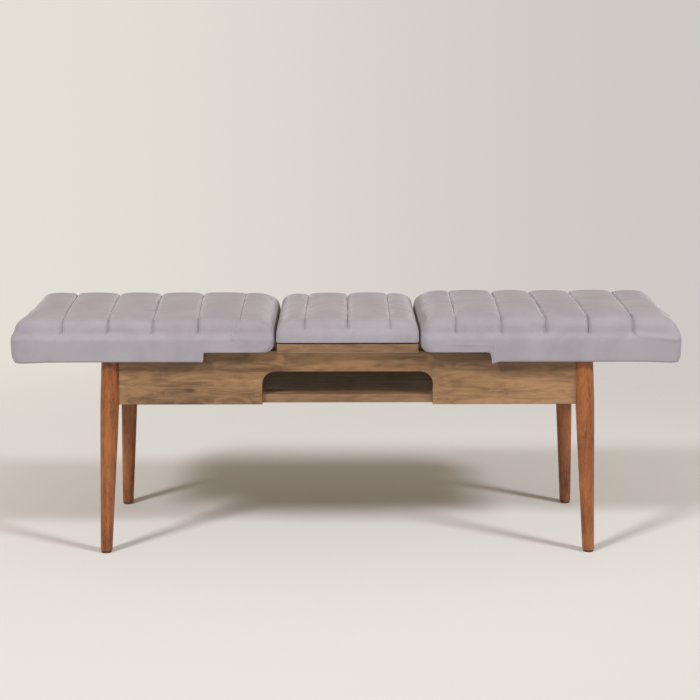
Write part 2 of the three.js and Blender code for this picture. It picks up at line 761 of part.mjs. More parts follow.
// One sliding seat, with its upholstered lips, battens and moving slide members.
function seat(end, signX) {
  const group = new THREE.Group();
  addPiece(group, end + "_seat_board", mirrored(seatBoard(), signX, 1), PLYWOOD);
  addPiece(group, end + "_seat_cushion", mirrored(seatCushion(), signX, 1), FABRIC);
  addPiece(group, end + "_lip_end", mirrored(endLip(), signX, 1), FABRIC);
  for (const [side, signY] of [["front", -1], ["rear", 1]]) {
    addPiece(group, end + "_lip_" + side, mirrored(sideLip(), signX, signY), FABRIC);
    addPiece(group, end + "_batten_" + side, mirrored(batten(), signX, signY), PLYWOOD);
    addPiece(group, end + "_slide_member_" + side, mirrored(slideMember(), signX, signY), STEEL);
    screwPlaces().forEach((place, i) => {
      const name = end + "_batten_screw_" + side + "_" + ["inner", "outer"][i];
      addPiece(group, name, mirrored(battenScrew(place, 0), signX, signY), STEEL);
    });
  }
  return group;
}

// The unit that fills the middle: a board with its pad above and its cleats below.
function centreUnit() {
  const group = new THREE.Group();
  addPiece(group, "centre_board", centreBoard(), WALNUT);
  addPiece(group, "centre_pad_base", padBase(), BLACK_PANEL);
  addPiece(group, "centre_cushion", padCushion(), FABRIC);
  addPiece(group, "cleat_front", mirrored(cleat(), 1, -1), PLYWOOD);
  addPiece(group, "cleat_rear", cleat(), PLYWOOD);
  return group;
}

const bench = new THREE.Group();
bench.name = "bench";
bench.add(frame(), seat("left", -1), seat("right", 1), centreUnit());

export default bench;
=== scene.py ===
import math
from types import SimpleNamespace

import bmesh
import bpy
import numpy as np
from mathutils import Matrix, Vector, noise


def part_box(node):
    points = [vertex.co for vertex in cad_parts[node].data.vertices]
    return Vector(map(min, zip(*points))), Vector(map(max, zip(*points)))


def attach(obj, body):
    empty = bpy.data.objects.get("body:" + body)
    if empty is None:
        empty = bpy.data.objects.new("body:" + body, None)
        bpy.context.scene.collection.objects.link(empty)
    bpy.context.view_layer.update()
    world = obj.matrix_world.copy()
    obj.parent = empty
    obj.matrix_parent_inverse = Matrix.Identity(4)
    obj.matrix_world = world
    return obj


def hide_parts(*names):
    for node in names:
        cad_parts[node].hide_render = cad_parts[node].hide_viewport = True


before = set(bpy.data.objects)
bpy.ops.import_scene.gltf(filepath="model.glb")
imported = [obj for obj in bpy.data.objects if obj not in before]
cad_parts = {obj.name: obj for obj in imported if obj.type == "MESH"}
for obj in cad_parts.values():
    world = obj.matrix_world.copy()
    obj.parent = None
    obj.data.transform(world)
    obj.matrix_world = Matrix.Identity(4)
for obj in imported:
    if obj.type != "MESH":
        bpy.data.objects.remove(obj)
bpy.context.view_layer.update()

MILLIMETRE = 0.001
ENDS = ("left", "right")
SIDES = ("front", "rear")

# Camera, in metres, radians and the photograph's 700 pixels
CAMERA_PLACE = (-0.01735, -3.39401, 1.10191)
CAMERA_PITCH = 0.20247
CAMERA_YAW = 0.00696
FOCAL_PIXELS = 1569.5
IMAGE_PIXELS = 700
SENSOR_WIDTH = 36.0

# Seat and pad profiles, each point inward and upward in millimetres
SEAT_SIDE = [
    (0, 0), (0, 26.6), (1, 29), (3.5, 32.5), (6.2, 35.5), (7.8, 39.5), (8.4, 45),
    (9.4, 51), (11.6, 56.3), (15.8, 60.5), (22.5, 63.8), (32, 66.2), (44, 67),
]
SEAT_OUTER_END = {
    "left": [
        (2.5, 0), (-1.5, 2.5), (-3.8, 8), (-4.2, 16), (-4.2, 28), (-3, 32.5), (0.6, 37), (3, 43),
        (4.6, 50), (8.2, 55.5), (12.5, 60.8), (19, 64), (28.5, 66.2), (42, 67),
    ],
    "right": [
        (4, 0), (1, 3), (0, 8), (0, 26.6), (0.6, 33), (1.8, 40), (3.8, 46), (6.8, 51.5),
        (11, 56.5), (17.5, 60.8), (26, 64), (39, 66.2), (58, 67),
    ],
}
SEAT_NOSE = [
    (11, 0), (2.2, 8), (0, 17), (0.5, 28), (1.5, 38), (3.5, 46),
    (7.5, 51), (15, 56.4), (25, 61), (38, 64.9), (54, 67),
]
PAD_SIDE = [
    (0, 0), (0, 8), (0.8, 14), (2.5, 19), (5, 23.5), (7.5, 27), (9.5, 31),
    (11.5, 35), (15, 40), (21, 44.3), (29, 46.8), (38, 48),
]
PAD_END = [
    (0, 0), (0, 14), (0.5, 20), (1.5, 26), (3.5, 31), (7, 36),
    (13, 40.5), (22, 44), (34, 46.8), (48, 48),
]
SEAT_KNEE = 0.0266
PAD_KNEE = 0.012
SEAT_CROWN = 0.005
PAD_CROWN = 0.003
SEAT_LIFT = {"left": 0.003, "right": 0.0078}
SEAT_CORNER = 0.018
PAD_CORNER = 0.014
CORNER_GROWTH_SHARE = 0.25
CORNER_ROOM_SHARE = 0.8

# Channels: each seam's place from the middle, its slant towards the rear, and its depth share
SEAT_SEAMS = {
    "left": [
        (0.2272, 0.003, 0.45), (0.3201, 0.0096, 1.0), (0.4151, 0.0098, 1.0),
        (0.5097, 0.011, 1.0), (0.6055, 0.0113, 1.0),
    ],
    "right": [
        (0.2294, 0.0044, 0.8), (0.3261, 0.0062, 1.1), (0.4145, 0.0009, 1.1),
        (0.5054, 0.0022, 1.1), (0.6014, 0.0052, 1.0),
    ],
}
PAD_SEAMS = [(-0.0886, 0.002, 0.9), (0.001, 0.0014, 1.2), (0.0905, 0.0019, 0.8)]
CHANNEL_DEPTH = 0.0026
GROOVE_POWER = 3.0
CREASE_DEPTH = 0.0042
CREASE_WIDTH = 0.0034
SEAT_SEAM_LOW = 0.034
PAD_SEAM_LOW = 0.0245
SEAM_FADE = 0.006
SLANT_FADE = 0.015
COLUMN_GATHER = 0.8

# Grid steps
CORNER_STEPS = 5
LEVEL_STEPS = 24
ROW_STEPS = 54
SEAT_CHANNEL_STEPS = [7, 22, 22, 22, 22, 10]
PAD_CHANNEL_STEPS = [6, 22, 22, 6]
NOTCH_STEPS = 5

# Lips, hems and the board's pocket
LIP_SAG = 0.0028
END_SAG = 0.0022
END_SAG_START = 0.62
END_SAG_RUN = 0.06
LIP_NOTCH_GAP = 0.0006
NOTCH_EDGE = 0.002
LOOSE_TIP = {"left": 0.001, "right": 0.0075}
TIP_WIDTH = 0.0035
LIP_INNER_RADIUS = 0.005
HEM_REACH = 0.01
HEM_DROP = 0.0003
HEM_CREASE = 0.6
BOARD_FIT = 0.0003
POCKET_SHARES = (0.25, 0.45, 0.65, 0.8, 1.0, 1.0)
PAD_UNDER = 0.008

# Filling, lumps and folds
FILL_FRAMES = 20
FILL_CAP = 0.0035
FILL_SETTINGS = {
    "quality": 6, "mass": 0.3, "tension_stiffness": 12, "compression_stiffness": 12,
    "shear_stiffness": 6, "bending_stiffness": 0.6, "use_pressure": True,
    "uniform_pressure_force": 1.6, "vertex_group_mass": "held", "pin_stiffness": 1.0,
    "shrink_min": -0.012,
}
HELD_SEAM = 0.3
LEAST_HOLD = 0.02
HELD_HEIGHT = 0.022
LUMP_SCALE = 13.0
LUMP_DEPTH = 0.001
NOISE_SHIFT = Vector((3.7, 1.3, 0.0))
PUCKER_SCALE = (25.0, 85.0, 85.0)
PUCKER_DEPTH = 0.0007
PUCKER_REACH = 0.011
SEAM_KEEP = 0.003
BAND_LOOSENESS = 0.2
FOLD_START = 0.4
FOLD_RUN = 0.4
FOLDS = {
    "left": [
        ((0.24, 0.469), (0.2355, 0.501), 0.004, 0.003),
        ((0.2265, 0.47), (0.223, 0.498), 0.0036, 0.0022),
        ((0.672, 0.47), (0.698, 0.461), 0.003, 0.0012),
    ],
    "right": [
        ((0.301, 0.468), (0.2985, 0.43), 0.004, 0.0026),
        ((0.606, 0.474), (0.69, 0.465), 0.0045, 0.0028),
        ((0.224, 0.47), (0.218, 0.49), 0.003, 0.001),
        ((0.21, 0.456), (0.29, 0.454), 0.003, 0.0008),
        ((0.675, 0.504), (0.7, 0.492), 0.015, -0.0045),
    ],
    "centre": [
        ((-0.001, 0.484), (-0.018, 0.496), 0.003, 0.001),
        ((0.101, 0.498), (0.096, 0.483), 0.003, 0.001),
    ],
}

# Stitches, staples and screws
STITCH = {"Pitch": 0.0046, "Length": 0.0036, "Radius": 0.0005}
STITCH_LIFT = 0.0003
STITCH_SIDES = 6
STITCH_RINGS = 4
STAPLE = {"Pitch": 0.038, "Length": 0.011, "Radius": 0.0006}
STAPLE_INSET = 0.005
STAPLE_SIDES = 8
SCREW = {"Radius": 0.0042, "Height": 0.0016}
SCREW_SIDES = 24
SCREW_ARM_SHARE = 1.1
SCREW_BLADE_SHARE = 0.22
SCREW_DRIVE_SHARE = -0.6
SHELF_SCREW_ROWS = (-0.085, 0.085)
CLEAT_SCREW_PLACES = (-0.095, 0.095)

# Turned legs, with their radii at the foot, at the apron's lower edge and at the top, and glides
LEG_RADII = (0.0125, 0.02, 0.0195)
LEG_SPLAY = 0.02
LEG_CHAMFER = 0.0012
LEG_SIDES = 96
LEG_RINGS = 28
LEG_FIRST_RING = 0.01
LEG_FIT_ROUNDS = 3
GLIDE_SIDES = 48
GLIDE_ROUND = 0.001
GLIDE_ROUND_POINTS = 6
GLIDE_RIM = 0.004
GLIDE_PIN_RADIUS = 0.002

# Cloth and thread. Colours are in linear light. A span is a low and a high value, then what they
# turn into. A bump is a distance and a strength, and a gloss is the least and most roughness.
NOISE_SPAN = (0.3, 0.7)
CLOTH = SimpleNamespace(
    colour=(0.35, 0.33, 0.362), shade=(0.308, 0.287, 0.322), sheen=(0.95, 0.92, 0.95),
    patch_scale=9.0, brush_scale=(30.0, 9.0, 30.0), nap_scale=900.0, weave_scale=2600.0,
    patch_span=(0.35, 0.68), brush_span=(0.42, 0.75, 0.0, 0.35), speckle=(0.9, 1.06),
    gloss=(0.8, 0.92), nap_bump=(0.0006, 0.35), weave_bump=(0.0003, 0.25),
)
# The thread is dark against the cloth: partly its own colour, partly painted shade in the seam
# grooves
THREAD = SimpleNamespace(
    tones=[(0.35, (0.11, 0.098, 0.106)), (0.7, (0.2, 0.18, 0.19))],
    twist_scale=(2500.0, 900.0, 2500.0), twist_bump=(0.0002, 0.5),
)

# Woods, each with its dark, middle and light tone
WALNUT = ((0.118, 0.06, 0.027), (0.242, 0.132, 0.062), (0.355, 0.201, 0.096))
WALNUT_DEEP = ((0.095, 0.049, 0.024), (0.185, 0.102, 0.052), (0.27, 0.155, 0.082))
# Pale inside tones: unstained wood made paler still, painted light for the dim inside of the bay
WALNUT_UNSTAINED_AND_LIT = ((0.52, 0.46, 0.41), (0.71, 0.645, 0.58), (0.82, 0.76, 0.7))
BEECH = ((0.136, 0.038, 0.01), (0.248, 0.076, 0.019), (0.356, 0.121, 0.032))
PLY = ((0.3, 0.19, 0.1), (0.47, 0.32, 0.18), (0.56, 0.4, 0.24))
TONE_STOPS = (0.4, 0.475, 0.58)

# Wood figure: each layer's fineness across and along the grain, detail, roughness and distortion
WOOD_LAYERS = {
    "drift": (0.9, 0.4, 2.0, 0.55, 0.0),
    "flames": (6.5, 1.3, 6.0, 0.62, 1.5),
    "bands": (3.2, 0.25, 4.0, 0.55, 0.7),
    "streaks": (9.0, 0.7, 5.0, 0.6, 1.2),
    "lines": (34.0, 0.6, 3.0, 0.55, 0.0),
}
TONE_SHARES = {"flames": 0.42, "bands": 0.33, "drift": 0.25}
STREAK_SPAN = (0.52, 0.74, 0.0, 0.36)
LINE_SPAN = (0.5, 0.78, 0.0, 0.35)
LINE_BUMP = (0.0003, 0.25)
PORE_SCALE = (1400.0, 45.0)
PORE_SPAN = (0.6, 0.7)
PORE_SHADE = 0.45
PORE_BUMP = (0.0003, 0.4)

# Dark marks on the front apron: x, z, radius, strength and the share of length kept along the
# grain.
# The first two are a knot and its streak; the last two are long bands of painted shade where the
# seats' shadow falls on the apron's top.
KNOTS_AND_PAINTED_SHADE = [
    (-0.332, 0.3525, 0.008, 0.85, 0.45), (-0.36, 0.347, 0.02, 0.4, 0.45),
    (-0.33, 0.418, 0.055, 0.38, 0.22), (0.29, 0.42, 0.06, 0.58, 0.22),
]
# How dark the knot marks and the painted shade bands get, and how uneven their edges are
KNOT_AND_SHADE_TONE = 0.4
MARK_WOBBLE = 1.6

# Boards and blocks that keep their solids: key in the node's name, material, grain axis, tones and
# place in the figure
BOARD_WOODS = [
    ("front_apron", "walnut_front", 0, WALNUT, (1.9, 0.7, 2.3)),
    ("rear_apron", "walnut_rear", 0, WALNUT, (2.7, 0.4, 0.6)),
    ("centre_board", "walnut_centre", 0, WALNUT_DEEP, (5.1, 1.7, 0.2)),
    ("shelf_board", "walnut_shelf", 0, WALNUT_DEEP, (7.9, 2.1, 0.9)),
    ("end_rail", "walnut_ends", 1, WALNUT, (1.1, 3.3, 0.4)),
    # The fences inside the bay take the pale inside tones throughout: painted light
    ("bay_fence", "walnut_fences", 1, WALNUT_UNSTAINED_AND_LIT, (4.2, 5.9, 0.7)),
    ("seat_board", "ply_boards", 0, PLY, (1.3, 0.2, 0.5)),
    ("batten", "ply_battens", 0, PLY, (3.3, 1.2, 0.1)),
    ("cleat", "ply_cleats", 0, PLY, (6.4, 2.2, 0.8)),
    ("corner_block", "ply_blocks", 2, PLY, (0.9, 2.9, 1.8)),
]
STEEL_KEYS = ("slide_", "corner_bolt", "batten_screw")
PLY_FACE = {"figure": 6.0, "pores": 0.25, "gloss": (0.6, 0.75)}
PLY_EDGE = {"figure": 20.0, "pores": 0.25, "gloss": (0.6, 0.75)}
LEG_LOOK = {"figure": 26.0, "pores": 0.35, "gloss": (0.3, 0.42)}
LEG_SHIFT = {"left": 1.48, "right": 1.85, "front": 3.05, "rear": 2.44}
# Thickness of the pale inside skins, and how far back the shelf's top turns pale: painted light
# inside the bay
PALE_SKIN = 0.0005
PALE_SHELF_SETBACK = 0.045

# Plated steel, and plain sheet with its light and dark colour, grain scale and gloss
STEEL = SimpleNamespace(
    tones=[(0.35, (0.42, 0.43, 0.45)), (0.65, (0.62, 0.63, 0.64))], spangle_scale=160.0,
    spangle_share=0.1, dull_scale=35.0, gloss=(0.26, 0.44),
    rolled_scale=(20.0, 900.0, 900.0), rolled_bump=(0.0001, 0.3),
)
# The pad's base is black: painted shade for the dark gap between the pad and the centre board
PAD_BASE_BLACK_SHADE = ((0.02, 0.018, 0.017), (0.012, 0.011, 0.01), 1200.0, (0.7, 0.9))
GLIDE_PLASTIC = ((0.075, 0.045, 0.028), (0.05, 0.03, 0.02), 900.0, (0.45, 0.6))
PLAIN_PATCH_SCALE = 22.0
PLAIN_PATCH_SPAN = (0.35, 0.65)
PLAIN_BUMP = (0.0003, 0.4)

# Studio
# The backdrop is brighter and warmer on the left, darker and cooler on the right: painted falloff
# of light
BACKDROP_LEFT = (0.775, 0.745, 0.67)
BACKDROP_RIGHT = (0.62, 0.585, 0.555)
BACKDROP_SPREAD = 0.21
FLOOR_COLOUR = (0.7, 0.7, 0.695)
FLOOR_ROUGHNESS = 0.75
FLOOR_REACH = 30.0
FADE_START = 0.5
FADE_END = 2.3
LAMP_DISTANCE = 8.0
LAMP_SIZE = 1.2
LAMP_AIM_HEIGHT = 0.3
WORLD_LOW = 0.16
WORLD_HIGH = 0.42
WORLD_COLOUR = (1.0, 0.84, 0.64)

# Lamps: name, heading and height in degrees, power in watts, and colour
LAMPS = [
    ("key_lamp", -42.0, 38.5, 405.0, (1.0, 0.99, 0.98)),
    ("fill_lamp", 56.0, 38.5, 378.0, (0.96, 0.98, 1.0)),
]


# Nodes and materials

class Wires:
    """A node tree being built, with short ways to add its nodes."""

    prefix = "ShaderNode"

    def __init__(self, tree):
        self.tree = tree

    def put(self, socket, value):
        if isinstance(value, bpy.types.NodeSocket):
            self.tree.links.new(value, socket)
        elif isinstance(value, tuple) and socket.type == "RGBA":
            socket.default_value = (*value, 1.0)
        else:
            socket.default_value = value

    def node(self, kind, inputs, output=0, **settings):
        """Adds a node with its inputs and settings, and gives one of its outputs."""
        node = self.tree.nodes.new(self.prefix + kind)
        for name, value in settings.items():
            setattr(node, name, value)
        for key, value in inputs.items():
            self.put(node.inputs[key], value)
        return node.outputs[output]

    def maths(self, operation, first, second):
        return self.node("Math", {0: first, 1: second}, operation=operation)

    def span(self, value, low, high, to_low=0.0, to_high=1.0):
        limits = {"From Min": low, "From Max": high, "To Min": to_low, "To Max": to_high}
        return self.node("MapRange", {"Value": value, **limits}, interpolation_type="SMOOTHSTEP")

    def mix(self, share, first, second, blend="MIX"):
        inputs = {"Factor": share, 6: first, 7: second}
        return self.node("Mix", inputs, output=2, data_type="RGBA", blend_type=blend)

    def backdrop(self, direction):
        """The backdrop's colour in a direction: warm and bright on the left, cooler and darker on
        the right, a painted falloff of light.
        """
        sideways = self.node("SeparateXYZ", {0: direction})
        share = self.span(sideways, -BACKDROP_SPREAD, BACKDROP_SPREAD)
        return self.mix(share, BACKDROP_LEFT, BACKDROP_RIGHT)

    def seen_directly(self):
        """1 for rays that show the backdrop: to the camera, in a reflection or through glass."""
        labels = ("Is Camera Ray", "Is Glossy Ray", "Is Transmission Ray")
        camera, glossy, through = (self.node("LightPath", {}, output=label) for label in labels)
        return self.maths("MAXIMUM", self.maths("MAXIMUM", camera, glossy), through)


class Finish(Wires):
    """A material being built around one principled shader."""

    def __init__(self, name):
        self.material = bpy.data.materials.new(name)
        self.material.use_nodes = True
        super().__init__(self.material.node_tree)
        self.tree.nodes.clear()
        self.shader = self.tree.nodes.new("ShaderNodeBsdfPrincipled")
        self.output = self.tree.nodes.new("ShaderNodeOutputMaterial")
        self.tree.links.new(self.shader.outputs[0], self.output.inputs[0])

    def place(self, scale=(1.0, 1.0, 1.0), offset=(0.0, 0.0, 0.0)):
        """The point on the object, moved and then scaled along each axis."""
        point = self.node("TexCoord", {}, output="Object")
        moved = self.node("VectorMath", {0: point, 1: offset}, operation="ADD")
        return self.node("VectorMath", {0: moved, 1: scale}, operation="MULTIPLY")

    def noise(self, vector, scale, detail=3.0, roughness=0.55, distortion=0.0):
        inputs = {"Vector": vector, "Scale": scale, "Detail": detail, "Roughness": roughness}
        return self.node("TexNoise", {**inputs, "Distortion": distortion})

    def ramp(self, value, stops):
        """A colour for the value, from stops of a place and a colour."""
        stops = list(stops)
        node = self.tree.nodes.new("ShaderNodeValToRGB")
        self.put(node.inputs[0], value)
        while len(node.color_ramp.elements) < len(stops):
            node.color_ramp.elements.new(0.5)
        for element, (place, colour) in zip(node.color_ramp.elements, stops):
            element.position = place
            element.color = (*colour, 1.0)
        return node.outputs[0]

    def bump(self, height, distance, strength=1.0, under=None):
        inputs = {"Height": height, "Distance": distance, "Strength": strength}
        if under is not None:
            inputs["Normal"] = under
        return self.node("Bump", inputs)

    def set(self, **inputs):
        for name, value in inputs.items():
            self.put(self.shader.inputs[name.replace("_", " ")], value)
        return self.material


def cloth_finish():
    """Short-piled velour: soft tone patches, brushed streaks and a fine nap."""
    finish = Finish("seat_velour")
    point = finish.place()
    patches = finish.noise(point, CLOTH.patch_scale, detail=4.0, distortion=0.8)
    brushed = finish.noise(finish.place(CLOTH.brush_scale), 1.0, detail=4.0, distortion=1.2)
    nap = finish.noise(point, CLOTH.nap_scale)
    weave = finish.noise(point, CLOTH.weave_scale, detail=1.0)
    tone = finish.mix(finish.span(patches, *CLOTH.patch_span), CLOTH.shade, CLOTH.colour)
    streaked = finish.mix(finish.span(brushed, *CLOTH.brush_span), tone, CLOTH.colour)
    speckle = finish.span(nap, *NOISE_SPAN, *CLOTH.speckle)
    grain = finish.node("CombineColor", {0: speckle, 1: speckle, 2: speckle})
    pile = finish.bump(nap, *CLOTH.nap_bump)
    return finish.set(
        Base_Color=finish.mix(1.0, streaked, grain, "MULTIPLY"),
        Roughness=finish.span(patches, *NOISE_SPAN, *CLOTH.gloss),
        Normal=finish.bump(weave, *CLOTH.weave_bump, pile),
        Sheen_Weight=0.45, Sheen_Roughness=0.40, Sheen_Tint=CLOTH.sheen, Specular_IOR_Level=0.20,
    )


def thread_finish():
    """Dull sewing thread with a visible twist, dark against the cloth: partly its own colour,
    partly painted shade in the seam grooves.
    """
    finish = Finish("seam_thread")
    twist = finish.noise(finish.place(THREAD.twist_scale), 1.0)
    bump = finish.bump(twist, *THREAD.twist_bump)
    return finish.set(Base_Color=finish.ramp(twist, THREAD.tones), Roughness=0.7, Normal=bump)


def along(axis, fine, coarse):
    """A scale that is coarse along the grain's axis and fine across it."""
    return tuple(coarse if i == axis else fine for i in range(3))


def darker(colour, share):
    return tuple(share * channel for channel in colour)


def wood_finish(
    name, axis, tones, offset, figure=9.0, pores=0.5, gloss=(0.38, 0.52), knots_and_shade=(), raw_and_lit=(),
):
    """Sawn wood: drifting tone, curling figure, growth lines, pores, knot marks and painted shade
    bands along one axis.

    A small share of length kept along the grain draws a mark out into a dark band, here painted
    shade where the seats' shadow falls. The pale part, inside all its limits of axis, low and high,
    is
    unstained wood made paler still: painted light for the dim inside of the bay.
    """
    dark, _, light = tones
    finish = Finish(name)
    layers = {}
    for layer, (across, lengthwise, *settings) in WOOD_LAYERS.items():
        scale = along(axis, figure * across, figure * lengthwise)
        layers[layer] = finish.noise(finish.place(scale, offset), 1.0, *settings)
    streaks, lines = layers["streaks"], layers["lines"]
    blend = 0.0
    for layer, share in TONE_SHARES.items():
        blend = finish.maths("ADD", blend, finish.maths("MULTIPLY", layers[layer], share))
    tone = finish.ramp(blend, zip(TONE_STOPS, tones))
    streaked = finish.mix(finish.span(streaks, *STREAK_SPAN), tone, dark)
    colour = finish.mix(finish.span(lines, *LINE_SPAN), streaked, light)
    # Knot marks, and long dark bands of painted shade below the seats
    for centre, radius, strength, length_share in knots_and_shade:
        apart = finish.place(along(axis, 1.0, length_share), tuple(-value for value in centre))
        distance = finish.node("VectorMath", {0: apart}, output="Value", operation="LENGTH")
        uneven = finish.maths("SUBTRACT", streaks, 0.5)
        wobble = finish.maths("MULTIPLY", uneven, radius * MARK_WOBBLE)
        share = finish.span(finish.maths("ADD", distance, wobble), 0.0, radius, strength, 0.0)
        colour = finish.mix(share, colour, darker(dark, KNOT_AND_SHADE_TONE))
    # Faces inside the bay turn pale: unstained wood, made paler as painted light
    if raw_and_lit:
        share = 1.0
        for pale_axis, low, high in raw_and_lit:
            level = finish.node("SeparateXYZ", {0: finish.place()}, output=pale_axis)
            share = finish.maths("MULTIPLY", share, finish.maths("GREATER_THAN", level, low))
            share = finish.maths("MULTIPLY", share, finish.maths("LESS_THAN", level, high))
        colour = finish.mix(share, colour, finish.ramp(blend, zip(TONE_STOPS, WALNUT_UNSTAINED_AND_LIT)))
    pore = finish.noise(finish.place(along(axis, *PORE_SCALE), offset), 1.0, detail=2.0)
    dashes = finish.span(pore, *PORE_SPAN, 0.0, pores)
    return finish.set(
        Base_Color=finish.mix(dashes, colour, darker(dark, PORE_SHADE)),
        Roughness=finish.span(streaks, *NOISE_SPAN, *gloss), Specular_IOR_Level=0.45,
        Normal=finish.bump(lines, *LINE_BUMP, finish.bump(dashes, *PORE_BUMP)),
    )


def steel_finish():
    """Zinc-plated sheet: faint spangle, rolling marks and a few dull patches."""
    finish = Finish("zinc_plate")
    point = finish.place()
    inputs = {"Vector": point, "Scale": STEEL.spangle_scale}
    spangle = finish.node("TexVoronoi", inputs, output="Distance")
    rolled = finish.noise(finish.place(STEEL.rolled_scale), 1.0, detail=2.0)
    dull = finish.noise(point, STEEL.dull_scale, detail=5.0)
    crystals = finish.maths("MULTIPLY", spangle, STEEL.spangle_share)
    return finish.set(
        Base_Color=finish.ramp(dull, STEEL.tones), Metallic=0.9,
        Roughness=finish.maths("ADD", finish.span(dull, *NOISE_SPAN, *STEEL.gloss), crystals),
        Normal=finish.bump(rolled, *STEEL.rolled_bump),
    )


def plain_finish(name, light, dark, grain, gloss):
    """Moulded or pressed sheet with a fine grain and slight tone changes."""
    finish = Finish(name)
    point = finish.place()
    texture = finish.noise(point, grain, detail=4.0)
    patches = finish.noise(point, PLAIN_PATCH_SCALE)
    return finish.set(
        Base_Color=finish.mix(finish.span(patches, *PLAIN_PATCH_SPAN), dark, light),
        Roughness=finish.span(texture, *NOISE_SPAN, *gloss),
        Normal=finish.bump(texture, *PLAIN_BUMP),
    )


# Meshes

def link(name, data):
    piece = bpy.data.objects.new(name, data)
    bpy.context.scene.collection.objects.link(piece)
    return piece


def make_object(name, vertices, faces, finish):
    mesh = bpy.data.meshes.new(name)
    mesh.from_pydata([tuple(v) for v in vertices], [], [tuple(f) for f in faces])
    mesh.validate()
    mesh.materials.append(finish)
    mesh.shade_smooth()
    return link(name, mesh)


def evaluated_mesh(piece):
    """A plain mesh of what the piece's modifiers make."""
    evaluated = piece.evaluated_get(bpy.context.evaluated_depsgraph_get())
    return bpy.data.meshes.new_from_object(evaluated)


def settled(piece):
    """The piece with its modifiers applied and removed."""
    mesh = evaluated_mesh(piece)
    old = piece.data
    piece.modifiers.clear()
    piece.data = mesh
    mesh.name = piece.name
    bpy.data.meshes.remove(old)
    return piece


def finish_faces(piece, angle=math.radians(35)):
    """Turns faces outwards and ends smooth shading at edges sharper than the angle."""
    work = bmesh.new()
    work.from_mesh(piece.data)
    bmesh.ops.recalc_face_normals(work, faces=work.faces)
    for edge in work.edges:
        edge.smooth = len(edge.link_faces) == 2 and edge.calc_face_angle(0.0) < angle
    work.to_mesh(piece.data)
    work.free()
    return piece


# Cushion grids

def clamped(value):
    """The value, held between 0 and 1."""
    return min(1.0, max(0.0, value))


def eased(value):
    """The value, held between 0 and 1 with soft ends."""
    share = clamped(value)
    return share * share * (3 - 2 * share)


def bell(value):
    """1 at 0, and falling off softly on both sides."""
    return math.exp(-(value**2))


def softened(points, rounds=2, cut=0.25):
    """A polyline in metres with its bends cut soft."""
    line = np.array(points, float) * MILLIMETRE
    for _ in range(rounds):
        near = (1 - cut) * line[:-1] + cut * line[1:]
        far = cut * line[:-1] + (1 - cut) * line[1:]
        line = np.vstack([line[:1], np.stack([near, far], axis=1).reshape(-1, 2), line[-1:]])
    return line


def side_levels(points):
    """Even steps along the side's profile: insets, heights and facing, outward and upward."""
    line = softened(points)
    run = np.concatenate([[0.0], np.cumsum(np.linalg.norm(np.diff(line, axis=0), axis=1))])
    places = np.linspace(0.0, run[-1], LEVEL_STEPS + 1)
    insets, heights = (np.interp(places, run, line[:, k]) for k in (0, 1))
    slope = np.gradient(np.column_stack([heights, insets]), axis=0)
    return insets, heights, slope / np.linalg.norm(slope, axis=1, keepdims=True)


def level_outline(form, level):
    """The extents of a level's rounded rectangle, with the radius of its corners."""
    height, inset = form.heights[level], form.insets[level]
    start = form.x[0] + np.interp(height, form.start[:, 1], form.start[:, 0])
    end = form.x[1] - np.interp(height, form.end[:, 1], form.end[:, 0])
    room = CORNER_ROOM_SHARE * min(form.seams[0] - start, end - form.seams[-1])
    radius = min(form.corner + CORNER_GROWTH_SHARE * inset, room)
    return SimpleNamespace(start=start, end=end, half=form.half_depth - inset, radius=radius)


def gathered(start, end, count, near_start, near_end):
    """Places from start up to end, which crowd together at the ends that are seams."""
    t = np.linspace(0.0, 1.0, count, endpoint=False)
    if near_start and near_end:
        t = t - COLUMN_GATHER * np.sin(2 * math.pi * t) / (2 * math.pi)
    elif near_start or near_end:
        t = t + math.copysign(COLUMN_GATHER, near_end - near_start) * np.sin(math.pi * t) / math.pi
    return start + (end - start) * t


def level_columns(form, level):
    """The places along the length of a level's columns."""
    outline = level_outline(form, level)
    stops = [outline.start, outline.start + outline.radius, *form.seams]
    counts = [CORNER_STEPS, *form.channel_steps[:-1]]
    if form.notch is not None:
        rise = min(1.0, form.heights[level] / form.knee)
        widest = (form.seams[1] - form.notch) / NOTCH_STEPS
        beside = form.notch + LIP_NOTCH_GAP + rise * (widest - LIP_NOTCH_GAP)
        stops[3:3] = [form.notch - NOTCH_EDGE, form.notch, beside, beside + NOTCH_EDGE]
        counts[2:3] = [counts[2] - NOTCH_STEPS - 1, 1, 1, 1, NOTCH_STEPS - 2]
    stops += [outline.end - outline.radius, outline.end]
    counts += [form.channel_steps[-1], CORNER_STEPS]
    pieces = []
    for a, b, n in zip(stops, stops[1:], counts):
        pieces.append(gathered(a, b, n, a in form.seams, b in form.seams))
    return np.concatenate([*pieces, [outline.end]]), outline


def level_rows(outline):
    inner = outline.half - outline.radius
    corner = np.linspace(inner, outline.half, CORNER_STEPS + 1)[1:]
    middle = np.linspace(-inner, inner, ROW_STEPS + 1)
    return np.concatenate([-corner[::-1], middle, corner])


def rounded(x, y, outline):
    """Moves a grid point in a square corner onto the concentric arcs of the round one."""
    centre_x = min(max(x, outline.start + outline.radius), outline.end - outline.radius)
    centre_y = min(max(y, -outline.half + outline.radius), outline.half - outline.radius)
    out_x, out_y = x - centre_x, y - centre_y
    if out_x == 0 or out_y == 0:
        return x, y
    reach = max(abs(out_x), abs(out_y))
    heading = min(abs(out_x), abs(out_y)) / reach * math.pi / 4
    if abs(out_y) > abs(out_x):
        heading = math.pi / 2 - heading
    return (
        centre_x + math.copysign(reach * math.cos(heading), out_x),
        centre_y + math.copysign(reach * math.sin(heading), out_y),
    )


